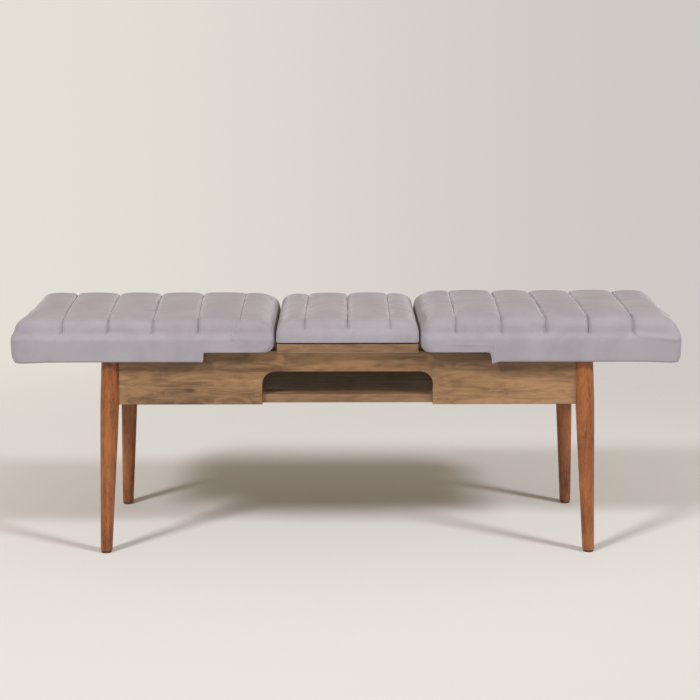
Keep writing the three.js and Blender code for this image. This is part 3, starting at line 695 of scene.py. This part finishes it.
def draw_down(form, x):
    """How far the channels' surface is drawn in at a place along the length."""
    gaps = [abs(x - seam) for seam in form.seams]
    nearest = int(np.argmin(gaps))
    widths = np.diff(form.seams)
    beyond = nearest if x > form.seams[nearest] else nearest - 1
    width = widths[min(max(beyond, 0), len(widths) - 1)]
    broad = max(0.0, 1 - 2 * gaps[nearest] / width) ** GROOVE_POWER
    sharp = bell(gaps[nearest] / CREASE_WIDTH)
    return form.depths[nearest] * (CHANNEL_DEPTH * broad + CREASE_DEPTH * sharp)


def slanted(form, x, y, height):
    """How far a point is shifted along the length by the slant of the seams beside it."""
    lift = clamped((height - form.knee) / SLANT_FADE)
    slant = np.interp(x, [form.x[0], *form.seams, form.x[1]], [0.0, *form.slants, 0.0])
    return float(slant) * y / form.half_depth * lift


def sag(form, x):
    """How far the lips hang below the solid ones, more at the outer end and at the loose tip."""
    tip = form.loose_tip * bell((x - form.notch) / TIP_WIDTH)
    return LIP_SAG + END_SAG * eased((x - END_SAG_START) / END_SAG_RUN) + tip


def beyond_notch(form, x):
    return form.notch is not None and x > form.notch + LIP_NOTCH_GAP / 2


def base_height(form, height, x):
    """The height of a point of the sides, where the band reaches lower along the lips."""
    if height >= form.knee or not beyond_notch(form, x):
        return form.bottom + height
    low, knee = form.lip_bottom - sag(form, x), form.bottom + form.knee
    return low + (knee - low) * height / form.knee


def border(columns, rows):
    """The grid places round the edge, in one turn."""
    places = [(i, 0) for i in range(columns - 1)]
    places += [(columns - 1, j) for j in range(rows - 1)]
    places += [(i, rows - 1) for i in range(columns - 1, 0, -1)]
    places += [(0, j) for j in range(rows - 1, 0, -1)]
    return places


class Skin:
    """The cushion's skin before it is filled."""

    def __init__(self):
        self.points, self.faces, self.seams, self.looseness = [], [], [], []

    def add(self, point, seam=0.0, loose=0.0):
        self.points.append(point)
        self.seams.append(seam)
        self.looseness.append(loose)
        return len(self.points) - 1


def cushion_grid(form):
    """The sides level by level, then the crowned top, with the path of each seam."""
    skin = Skin()
    last = LEVEL_STEPS
    top_columns, top_outline = level_columns(form, last)
    top_rows = level_rows(top_outline)
    columns, rows = len(top_columns), len(top_rows)
    skin.ring = border(columns, rows)
    seam_columns = [int(np.argmin(abs(top_columns - seam))) for seam in form.seams]
    rings = []
    for level in range(last + 1):
        xs, outline = level_columns(form, level)
        ys = level_rows(outline)
        height = form.heights[level]
        out, up = form.facing[level]
        fade = clamped((height - form.seam_low) / SEAM_FADE)
        loose = BAND_LOOSENESS + (1 - BAND_LOOSENESS) * clamped((height - form.knee) / HELD_HEIGHT)
        ring = {}
        for i, j in skin.ring:
            x, y = rounded(xs[i], ys[j], outline)
            on_side = j in (0, rows - 1)
            drawn = draw_down(form, xs[i]) * fade if on_side else 0.0
            z = base_height(form, height, xs[i]) - drawn * up
            y -= math.copysign(drawn * out, y)
            seam = fade if on_side and i in seam_columns else 0.0
            if level == 0:
                seam = HEM_CREASE
            ring[i, j] = skin.add((x + slanted(form, x, y, height), y, z), seam, loose)
        rings.append(ring)
    for low, high in zip(rings, rings[1:]):
        for here, there in zip(skin.ring, skin.ring[1:] + skin.ring[:1]):
            skin.faces.append((low[here], low[there], high[there], high[here]))
    grid = dict(rings[-1])
    middle = (top_outline.start + top_outline.end) / 2
    half_length = (top_outline.end - top_outline.start) / 2
    for i in range(1, columns - 1):
        for j in range(1, rows - 1):
            x, y = rounded(top_columns[i], top_rows[j], top_outline)
            across, down = y / top_outline.half, abs(x - middle) / half_length
            crown = form.crown * (1 - across**2) * (1 - down**4)
            z = form.bottom + form.heights[-1] + crown - draw_down(form, top_columns[i])
            point = (x + slanted(form, x, y, form.heights[-1]), y, z)
            grid[i, j] = skin.add(point, 1.0 if i in seam_columns else 0.0, 1.0)
    for i in range(columns - 1):
        for j in range(rows - 1):
            skin.faces.append((grid[i, j], grid[i + 1, j], grid[i + 1, j + 1], grid[i, j + 1]))
    first = int(np.searchsorted(form.heights, form.seam_low + SEAM_FADE / 2))
    skin.paths = []
    for i in seam_columns:
        front = [ring[i, 0] for ring in rings[first:]]
        rear = [ring[i, rows - 1] for ring in rings[first:]][::-1]
        skin.paths.append(front + [grid[i, j] for j in range(1, rows - 1)] + rear)
    return skin


def close_below(form, skin):
    """Adds rings to the underside: a turned hem and the board's pocket, or a flat border."""
    xs, outline = level_columns(form, 0)
    ys = level_rows(outline)
    last = 0
    for place in form.under:
        start = len(skin.points)
        for i, j in skin.ring:
            skin.add(place(xs[i], ys[j], outline))
        for here in range(len(skin.ring)):
            there = (here + 1) % len(skin.ring)
            skin.faces.append((last + there, last + here, start + here, start + there))
        last = start
    return skin


def inset_point(x, y, outline, box, radius, z):
    """A border point carried onto a smaller rounded rectangle."""
    inner = SimpleNamespace(start=box[0], end=box[1], half=box[2], radius=radius)
    corner = outline.radius
    if x < outline.start + corner:
        square_x = inner.start + radius * (x - outline.start) / corner
    elif x > outline.end - corner:
        square_x = inner.end - radius * (outline.end - x) / corner
    else:
        square_x = min(max(x, inner.start + radius), inner.end - radius)
    square_y = inner.half * y / outline.half
    if abs(y) > outline.half - corner:
        square_y = math.copysign(inner.half - radius * (outline.half - abs(y)) / corner, y)
    return (*rounded(square_x, square_y, inner), z)


# Cushions, filled

def fill_cushion(name, skin):
    """Swells the cushion with cloth simulation, held at its band and along its seams."""
    work = make_object(name + "_filling", skin.points, skin.faces, None)
    held = work.vertex_groups.new(name="held")
    for index, (seam, loose) in enumerate(zip(skin.seams, skin.looseness)):
        hold = 1.0 if seam > HELD_SEAM or loose <= BAND_LOOSENESS else 1.0 - loose
        held.add([index], max(hold, LEAST_HOLD), "REPLACE")
    cloth = work.modifiers.new("cloth", "CLOTH")
    for setting, value in FILL_SETTINGS.items():
        setattr(cloth.settings, setting, value)
    cloth.settings.effector_weights.gravity = 0
    cloth.collision_settings.use_collision = False
    scene = bpy.context.scene
    for step in range(1, FILL_FRAMES + 1):
        scene.frame_set(step)
    evaluated = work.evaluated_get(bpy.context.evaluated_depsgraph_get())
    moved = np.array([v.co for v in evaluated.data.vertices])
    scene.frame_set(1)
    bpy.data.objects.remove(work)
    start = np.array(skin.points)
    length = np.linalg.norm(moved - start, axis=1)
    return start + (moved - start) * min(1.0, FILL_CAP / length.max())


def cushion(name, form, finish, sign, seed):
    """A finished cushion: its skin filled, smoothed once, and given its small unevenness."""
    skin = close_below(form, cushion_grid(form))
    points = fill_cushion(name, skin)
    points = points * np.array([sign, 1.0, 1.0])
    piece = make_object(name, points, [face[::sign] for face in skin.faces], finish)
    crease = piece.data.attributes.new("crease_edge", "FLOAT", "EDGE")
    for edge in piece.data.edges:
        crease.data[edge.index].value = min(skin.seams[v] for v in edge.vertices)
    loose = piece.data.attributes.new("loose", "FLOAT", "POINT")
    loose.data.foreach_set("value", skin.looseness)
    smooth = piece.modifiers.new("smooth", "SUBSURF")
    smooth.levels = smooth.render_levels = 1
    settled(piece)
    ruffle(piece.data, form, sign, seed)
    work = bmesh.new()
    work.from_mesh(piece.data)
    bmesh.ops.holes_fill(work, edges=work.edges)
    work.to_mesh(piece.data)
    work.free()
    return piece, [[points[index] for index in path] for path in skin.paths]


def ruffle(mesh, form, sign, seed):
    """Small unevenness of filled cloth: soft lumps, puckers beside the seams and a few folds."""
    loose = [item.value for item in mesh.attributes["loose"].data]
    normals = [v.normal.copy() for v in mesh.vertices]
    shift = seed * NOISE_SHIFT
    for vertex, normal, weight in zip(mesh.vertices, normals, loose):
        if weight < BAND_LOOSENESS / 2:
            continue
        place = vertex.co.copy()
        x = sign * place.x
        deep = place.y / form.half_depth
        gap = min(abs(x - seam - slant * deep) for seam, slant in zip(form.seams, form.slants))
        lump = noise.noise(place * LUMP_SCALE + shift) * LUMP_DEPTH
        wave = noise.noise(place * Vector(PUCKER_SCALE) + shift)
        pucker = wave * PUCKER_DEPTH * bell(gap / PUCKER_REACH)
        away = min(1.0, gap / SEAM_KEEP)
        height = (lump + pucker) * away * weight + folded(form, x, place.y, place.z)
        vertex.co = place + normal * height
    mesh.attributes.remove(mesh.attributes["loose"])


def folded(form, x, y, z):
    """The height of the front's folds at a point: each a ridge, or a dent, between two places."""
    near = eased((-y / form.half_depth - FOLD_START) / FOLD_RUN)
    total = 0.0
    for (x0, z0), (x1, z1), width, height in form.folds:
        run = Vector((x1 - x0, z1 - z0))
        point = Vector((x - x0, z - z0))
        share = clamped(point.dot(run) / run.length_squared)
        total += height * bell((point - share * run).length / width)
    return total * near


def make_form(low, high, side, start, end, seams, **extra):
    """The shared measures of a cushion, from its solid's box, its profiles and its seams."""
    insets, heights, facing = side_levels(side)
    places, slants, depths = zip(*seams)
    return SimpleNamespace(
        x=(low.x, high.x), half_depth=high.y, insets=insets, heights=heights, facing=facing,
        start=softened(start), end=softened(end), seams=list(places), slants=slants, depths=depths,
        **extra,
    )


def seat_form(end):
    """One seat's form, drawn on the right, from the solid seat, its board and its lips."""
    parts = ("seat_cushion", "seat_board", "lip_front", "lip_end")
    boxes = (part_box("right_" + part) for part in parts)
    (low, high), (board_low, board_high), (lip_low, lip_high), (end_low, end_high) = boxes
    bottom = board_low.z
    lip_thick = lip_high.y - lip_low.y
    end_thick = end_high.x - end_low.x
    pocket = (board_low.x - BOARD_FIT, board_high.x + BOARD_FIT, board_high.y + BOARD_FIT)
    pocket_radius = SEAT_CORNER - (high.y - board_high.y)
    hem = bottom - HEM_DROP
    roof = board_high.z + BOARD_FIT
    steps = [
        (0.0, lip_low.z, bottom), (0.0, hem, bottom), (HEM_REACH, hem, bottom),
        (HEM_REACH, bottom, bottom), (None, bottom, bottom), (None, roof, roof),
    ]

    def ring(share, extra, lip_z, plain_z):
        def place(x, y, outline):
            lip = beyond_notch(form, x)
            z = lip_z if lip else plain_z
            if lip and extra is not None:
                end_x, half = outline.end - end_thick - extra, outline.half - lip_thick - extra
                box = (outline.start, end_x, half)
                drop = sag(form, x) if lip_z < hem else 0.0
                return inset_point(x, y, outline, box, LIP_INNER_RADIUS, z - drop)
            outer = (outline.start, outline.end, outline.half)
            box = tuple(a + share * (b - a) for a, b in zip(outer, pocket))
            radius = outline.radius + share * (pocket_radius - outline.radius)
            return inset_point(x, y, outline, box, radius, z)
        return place

    lift = SEAT_LIFT[end] / MILLIMETRE
    profiles = (raised(points, lift) for points in (SEAT_SIDE, SEAT_NOSE, SEAT_OUTER_END[end]))
    form = make_form(
        low, high, *profiles, SEAT_SEAMS[end], bottom=bottom, lip_bottom=lip_low.z,
        knee=SEAT_KNEE, crown=SEAT_CROWN, corner=SEAT_CORNER, channel_steps=SEAT_CHANNEL_STEPS,
        notch=lip_low.x, seam_low=SEAT_SEAM_LOW, folds=FOLDS[end], loose_tip=LOOSE_TIP[end],
        under=[ring(share, *step) for share, step in zip(POCKET_SHARES, steps)],
    )
    return form


def raised(points, lift):
    """A profile whose upper part is stretched upwards by a lift in millimetres."""
    knee, top = SEAT_KNEE / MILLIMETRE, points[-1][1]
    return [(x, y + lift * max(0.0, (y - knee) / (top - knee))) for x, y in points]


def pad_form():
    """The centre pad's form, which has a flat bottom."""
    low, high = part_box("centre_cushion")

    def ring(x, y, outline):
        box = (outline.start + PAD_UNDER, outline.end - PAD_UNDER, outline.half - PAD_UNDER)
        return inset_point(x, y, outline, box, outline.radius / 2, low.z)

    return make_form(
        low, high, PAD_SIDE, PAD_END, PAD_END, PAD_SEAMS, bottom=low.z, knee=PAD_KNEE,
        crown=PAD_CROWN, corner=PAD_CORNER, channel_steps=PAD_CHANNEL_STEPS, notch=None,
        seam_low=PAD_SEAM_LOW, folds=FOLDS["centre"], under=[ring],
    )


# Rows of stitches, staples and screws, made by geometry nodes

class Grower(Wires):
    """A geometry tree being built, with named inputs for its sizes."""

    prefix = ""

    def __init__(self, name, sizes, smooth):
        super().__init__(bpy.data.node_groups.new(name, "GeometryNodeTree"))
        interface = self.tree.interface
        interface.new_socket(name="Geometry", in_out="INPUT", socket_type="NodeSocketGeometry")
        interface.new_socket(name="Geometry", in_out="OUTPUT", socket_type="NodeSocketGeometry")
        self.smooth = smooth
        for label, value in sizes.items():
            socket = interface.new_socket(name=label, in_out="INPUT", socket_type="NodeSocketFloat")
            socket.default_value = value
        self.start = self.tree.nodes.new("NodeGroupInput")
        self.end = self.tree.nodes.new("NodeGroupOutput")

    def size(self, label):
        return self.start.outputs[label]

    def scaled(self, label, share):
        return self.node("ShaderNodeMath", {0: self.size(label), 1: share}, operation="MULTIPLY")

    def finish(self, geometry, material):
        """Ends the tree: instances made real, shaded and given their material."""
        real = self.node("GeometryNodeRealizeInstances", {"Geometry": geometry})
        inputs = {"Geometry": real, "Shade Smooth": self.smooth}
        shaded = self.node("GeometryNodeSetShadeSmooth", inputs)
        coated = self.node("GeometryNodeSetMaterial", {"Geometry": shaded, "Material": material})
        self.tree.links.new(coated, self.end.inputs[0])
        return self

    def grow(self, piece):
        """Runs the tree on a piece and keeps the plain mesh."""
        modifier = piece.modifiers.new("grow", "NODES")
        modifier.node_group = self.tree
        mesh = evaluated_mesh(piece)
        mesh.name = name = piece.name
        bpy.data.objects.remove(piece)
        return link(name, mesh)


def row_tree(name, bead, sizes, material):
    """Beads of one kind that follow each path at an even pitch, turned along it."""
    tree = Grower(name, sizes, smooth=True)
    inputs = {"Curve": tree.start.outputs[0], "Length": tree.size("Pitch")}
    path = tree.node("GeometryNodeResampleCurve", inputs, mode="LENGTH")
    radius, half = tree.size("Radius"), tree.scaled("Length", 0.5)
    shape = tree.node("ShaderNodeCombineXYZ", {0: radius, 1: radius, 2: half})
    sized = tree.node("GeometryNodeTransform", {"Geometry": bead(tree), "Scale": shape})
    tangent = tree.node("GeometryNodeInputTangent", {})
    turn = tree.node("FunctionNodeAlignRotationToVector", {"Vector": tangent}, axis="Z")
    inputs = {"Points": path, "Instance": sized, "Rotation": turn}
    return tree.finish(tree.node("GeometryNodeInstanceOnPoints", inputs), material)


def round_bead(tree):
    inputs = {"Segments": STITCH_SIDES, "Rings": STITCH_RINGS, "Radius": 1.0}
    return tree.node("GeometryNodeMeshUVSphere", inputs)


def wire_bead(tree):
    inputs = {"Vertices": STAPLE_SIDES, "Radius": 1.0, "Depth": 2.0}
    return tree.node("GeometryNodeMeshCylinder", inputs)


def screw_tree(material):
    """Flat heads with a crossed drive, set face down on each point."""
    tree = Grower("screw_heads", SCREW, smooth=False)
    inputs = {"Vertices": SCREW_SIDES, "Radius": tree.size("Radius"), "Depth": tree.size("Height")}
    cut = tree.node("GeometryNodeMeshCylinder", inputs)
    arm, blade = tree.scaled("Radius", SCREW_ARM_SHARE), tree.scaled("Radius", SCREW_BLADE_SHARE)
    down = tree.node("ShaderNodeCombineXYZ", {2: tree.scaled("Height", SCREW_DRIVE_SHARE)})
    for width, depth in ((arm, blade), (blade, arm)):
        size = tree.node("ShaderNodeCombineXYZ", {0: width, 1: depth, 2: tree.size("Height")})
        bar = tree.node("GeometryNodeMeshCube", {"Size": size})
        lowered = tree.node("GeometryNodeTransform", {"Geometry": bar, "Translation": down})
        inputs = {"Mesh 1": cut, "Mesh 2": lowered}
        cut = tree.node("GeometryNodeMeshBoolean", inputs, operation="DIFFERENCE")
    inputs = {"Points": tree.start.outputs[0], "Instance": cut}
    return tree.finish(tree.node("GeometryNodeInstanceOnPoints", inputs), material)


def curve_object(name, paths, lift=0.0):
    curve = bpy.data.curves.new(name, "CURVE")
    curve.dimensions = "3D"
    for path in paths:
        spline = curve.splines.new("POLY")
        spline.points.add(len(path) - 1)
        for point, (x, y, z) in zip(spline.points, path):
            point.co = (x, y, z + lift, 1.0)
    return link(name, curve)


def point_object(name, points):
    mesh = bpy.data.meshes.new(name)
    mesh.from_pydata([tuple(point) for point in points], [], [])
    return link(name, mesh)


def hem_path(sign):
    """The line of staples along a seat's turned hem, behind its three lips."""
    lip_low, lip_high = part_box("right_lip_rear")
    end_low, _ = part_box("right_lip_end")
    start = lip_low.x + STAPLE_INSET
    end, side = end_low.x - STAPLE_INSET, lip_low.y - STAPLE_INSET
    z = lip_high.z - HEM_DROP - STAPLE["Radius"]
    return [(sign * x, y, z) for x, y in ((start, -side), (end, -side), (end, side), (start, side))]


# Turned legs and glides

def between(rings, sides):
    """The faces between neighbouring rings, where a ring of one point closes the shape."""
    faces = []
    for low, high in zip(rings, rings[1:]):
        for k in range(sides):
            n = (k + 1) % sides
            places = ((low, k), (low, n), (high, n), (high, k))
            faces.append(list(dict.fromkeys(ring[i % len(ring)] for ring, i in places)))
    return faces


def leg(name, node, glide_node, apron, finish):
    """A leaning, tapered leg with level ends and a small chamfer at the foot."""
    low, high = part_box(node)
    glide_low, glide_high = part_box(glide_node)
    foot = (glide_low + glide_high) / 2
    outward = Vector((math.copysign(1, foot.x), math.copysign(1, foot.y), 0))
    top_height, apron_bottom = apron[1].z, apron[0].z
    base = Vector((foot.x, foot.y, 0.0))
    top = Vector((foot.x, foot.y, top_height)) - LEG_SPLAY * outward
    rise = (top - base).normalized()
    across = rise.cross(Vector((0, 0, 1))).normalized()
    beside = rise.cross(across)
    run = (top - base).length
    stations = [0.0, run * apron_bottom / top_height, run]
    levels = [(low.z, LEG_CHAMFER), (low.z + LEG_CHAMFER, 0.0)]
    levels += [(z, 0.0) for z in np.linspace(low.z + LEG_FIRST_RING, high.z, LEG_RINGS)]
    points = []
    for level, shrink in levels:
        for k in range(LEG_SIDES):
            turn = 2 * math.pi * k / LEG_SIDES
            side = across * math.cos(turn) + beside * math.sin(turn)
            reach = level / rise.z
            for _ in range(LEG_FIT_ROUNDS):
                radius = float(np.interp(reach, stations, LEG_RADII)) - shrink
                reach = (level - radius * side.z) / rise.z
            points.append(base + rise * reach + side * radius)
    rings = [list(range(i, i + LEG_SIDES)) for i in range(0, len(points), LEG_SIDES)]
    faces = [rings[0], *between(rings, LEG_SIDES), rings[-1][::-1]]
    return finish_faces(make_object(name, points, faces, finish))


def glide(name, node, finish):
    """A glide with a rounded sole, a flat rim and the pin that holds it in the leg."""
    low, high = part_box(node)
    foot = (low + high) / 2
    radius = (high.x - low.x) / 2
    rim, pin = low.z + GLIDE_RIM, GLIDE_PIN_RADIUS
    profile = [(0.0, low.z)]
    for turn in np.linspace(0, math.pi / 2, GLIDE_ROUND_POINTS):
        out, up = GLIDE_ROUND * math.sin(turn), GLIDE_ROUND * math.cos(turn)
        profile.append((radius - GLIDE_ROUND + out, low.z + GLIDE_ROUND - up))
    profile += [(radius, rim), (pin, rim), (pin, high.z), (0.0, high.z)]
    points, rings = [], []
    for reach, z in profile:
        count = GLIDE_SIDES if reach > 0 else 1
        turns = [2 * math.pi * k / count for k in range(count)]
        rings.append([len(points) + k for k in range(count)])
        points += [(foot.x + reach * math.cos(t), foot.y + reach * math.sin(t), z) for t in turns]
    return finish_faces(make_object(name, points, between(rings, GLIDE_SIDES), finish))


# Studio

def studio():
    """A pale floor that clears towards the backdrop, two soft lamps and a plain world."""
    scene = bpy.context.scene
    scene.world = bpy.data.worlds.new("studio")
    scene.world.use_nodes = True
    world = Wires(scene.world.node_tree)
    world.tree.nodes.clear()
    direction = world.node("TexCoord", {}, output="Generated")
    upward = world.node("SeparateXYZ", {0: direction}, output=2)
    strength = world.span(upward, 0.0, 1.0, WORLD_LOW, WORLD_HIGH)
    light = world.node("Background", {"Color": WORLD_COLOUR, "Strength": strength})
    shown = world.node("Background", {"Color": world.backdrop(direction)})
    blend = world.node("MixShader", {0: world.seen_directly(), 1: light, 2: shown})
    output = world.tree.nodes.new("ShaderNodeOutputWorld")
    world.put(output.inputs[0], blend)

    finish = Finish("studio_floor")
    point = finish.place((1.0, 1.0, 0.0))
    away = finish.node("VectorMath", {0: point}, output="Value", operation="LENGTH")
    faded = finish.span(away, FADE_START, FADE_END)
    share = finish.maths("MULTIPLY", faded, finish.seen_directly())
    clear = finish.node("BsdfTransparent", {})
    mixed = finish.node("MixShader", {0: share, 1: finish.shader.outputs[0], 2: clear})
    finish.put(finish.output.inputs[0], mixed)
    finish.set(Base_Color=FLOOR_COLOUR, Roughness=FLOOR_ROUGHNESS)
    signs = ((-1, -1), (1, -1), (1, 1), (-1, 1))
    corners = [(FLOOR_REACH * x, FLOOR_REACH * y, 0.0) for x, y in signs]
    make_object("floor", corners, [(0, 1, 2, 3)], finish.material)

    for name, heading, height, power, colour in LAMPS:
        data = bpy.data.lights.new(name, "AREA")
        data.shape = "SQUARE"
        data.size = LAMP_SIZE
        data.energy = power
        data.color = colour
        heading, height = math.radians(heading), math.radians(height)
        level = math.cos(height)
        aim = Vector((math.sin(heading) * level, -math.cos(heading) * level, math.sin(height)))
        light = link(name, data)
        light.location = LAMP_DISTANCE * aim + Vector((0, 0, LAMP_AIM_HEIGHT))
        light.rotation_euler = aim.to_track_quat("Z", "Y").to_euler()
    scene.view_settings.view_transform = "Standard"


def camera():
    data = bpy.data.cameras.new("camera")
    data.sensor_width = SENSOR_WIDTH
    data.lens = FOCAL_PIXELS / IMAGE_PIXELS * SENSOR_WIDTH
    view = link("camera", data)
    view.location = CAMERA_PLACE
    view.rotation_euler = (math.pi / 2 - CAMERA_PITCH, 0.0, -CAMERA_YAW)
    bpy.context.scene.camera = view


# The bench

def keep(piece, body, replaced=()):
    """Hands a piece over: what it rides and the solids it stands for."""
    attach(piece, body)
    if replaced:
        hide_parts(*replaced)
    return piece


def dress_nodes(steel):
    """Finishes of the nodes that keep their own shape, the first name that fits deciding."""
    front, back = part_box("front_apron"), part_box("rear_apron")
    board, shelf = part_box("centre_board"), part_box("shelf_board")
    # Inner faces, the centre board's underside and the shelf's top turn pale: painted light for the
    # dim bay
    looks = {
        "front_apron": {
            # A knot and its streak, and bands of painted shade below the seats
            "knots_and_shade": [(Vector((x, front[0].y, z)), *mark) for x, z, *mark in KNOTS_AND_PAINTED_SHADE],
            "raw_and_lit": [(1, front[1].y - PALE_SKIN, 0.0)],
        },
        "rear_apron": {"raw_and_lit": [(1, 0.0, back[0].y + PALE_SKIN)]},
        "centre_board": {"raw_and_lit": [(2, 0.0, board[0].z + PALE_SKIN)]},
        "shelf_board": {
            "raw_and_lit": [(2, shelf[1].z - PALE_SKIN, 1.0), (1, shelf[0].y + PALE_SHELF_SETBACK, 1.0)],
        },
        "seat_board": PLY_FACE, "batten": PLY_EDGE, "cleat": PLY_EDGE, "corner_block": PLY_EDGE,
    }
    finishes = [(key, steel) for key in STEEL_KEYS]
    finishes += [(key, wood_finish(*wood, **looks.get(key, {}))) for key, *wood in BOARD_WOODS]
    # The pad's black base is painted shade in the gap under the pad
    finishes.append(("pad_base", plain_finish("black_panel", *PAD_BASE_BLACK_SHADE)))
    for name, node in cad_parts.items():
        chosen = next((finish for key, finish in finishes if key in name), None)
        if chosen is not None:
            node.data.materials.clear()
            node.data.materials.append(chosen)


def upholster(steel):
    """The three padded covers with their stitches, and the staples under the seats."""
    velour = cloth_finish()
    stitches = row_tree("stitches", round_bead, STITCH, thread_finish())
    staples = row_tree("staples", wire_bead, STAPLE, steel)

    def dress(name, body, form, sign, seed, solids):
        cover, paths = cushion(name + "_cover", form, velour, sign, seed)
        keep(cover, body, solids)
        sewn = stitches.grow(curve_object(name + "_stitches", paths, STITCH_LIFT))
        keep(sewn, body)

    for end, sign, seed in (("left", -1, 1), ("right", 1, 2)):
        seat = end + "_seat"
        solids = [end + part for part in ("_seat_cushion", "_lip_front", "_lip_rear", "_lip_end")]
        dress(seat, seat, seat_form(end), sign, seed, solids)
        stapled = staples.grow(curve_object(end + "_hem_staples", [hem_path(sign)]))
        keep(stapled, seat)
    dress("centre_pad", "centre_unit", pad_form(), 1, 3, ["centre_cushion"])


def set_screws(steel):
    screws, half = screw_tree(steel), SCREW["Height"] / 2
    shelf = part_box("shelf_board")[0].z - half
    fences = [(low.x + high.x) / 2 for low, high in (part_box("bay_fence_" + end) for end in ENDS)]
    points = [(x, y, shelf) for x in fences for y in SHELF_SCREW_ROWS]
    keep(screws.grow(point_object("shelf_screws", points)), "frame")
    points = []
    for side in SIDES:
        low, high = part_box("cleat_" + side)
        points += [(x, (low.y + high.y) / 2, low.z - half) for x in CLEAT_SCREW_PLACES]
    keep(screws.grow(point_object("cleat_screws", points)), "centre_unit")


def set_legs():
    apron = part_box("front_apron")
    plastic = plain_finish("glide_plastic", *GLIDE_PLASTIC)
    for end in ENDS:
        for side in SIDES:
            place = side + "_" + end
            shift = (LEG_SHIFT[end], LEG_SHIFT[side], 0.0)
            wood = wood_finish("beech_" + place, 2, BEECH, shift, **LEG_LOOK)
            turned = leg(place + "_turned_leg", "leg_" + place, "glide_" + place, apron, wood)
            keep(turned, "frame", ["leg_" + place])
            foot = glide(place + "_foot_glide", "glide_" + place, plastic)
            keep(foot, "frame", ["glide_" + place])


camera()
studio()
steel = steel_finish()
dress_nodes(steel)
upholster(steel)
set_screws(steel)
set_legs()
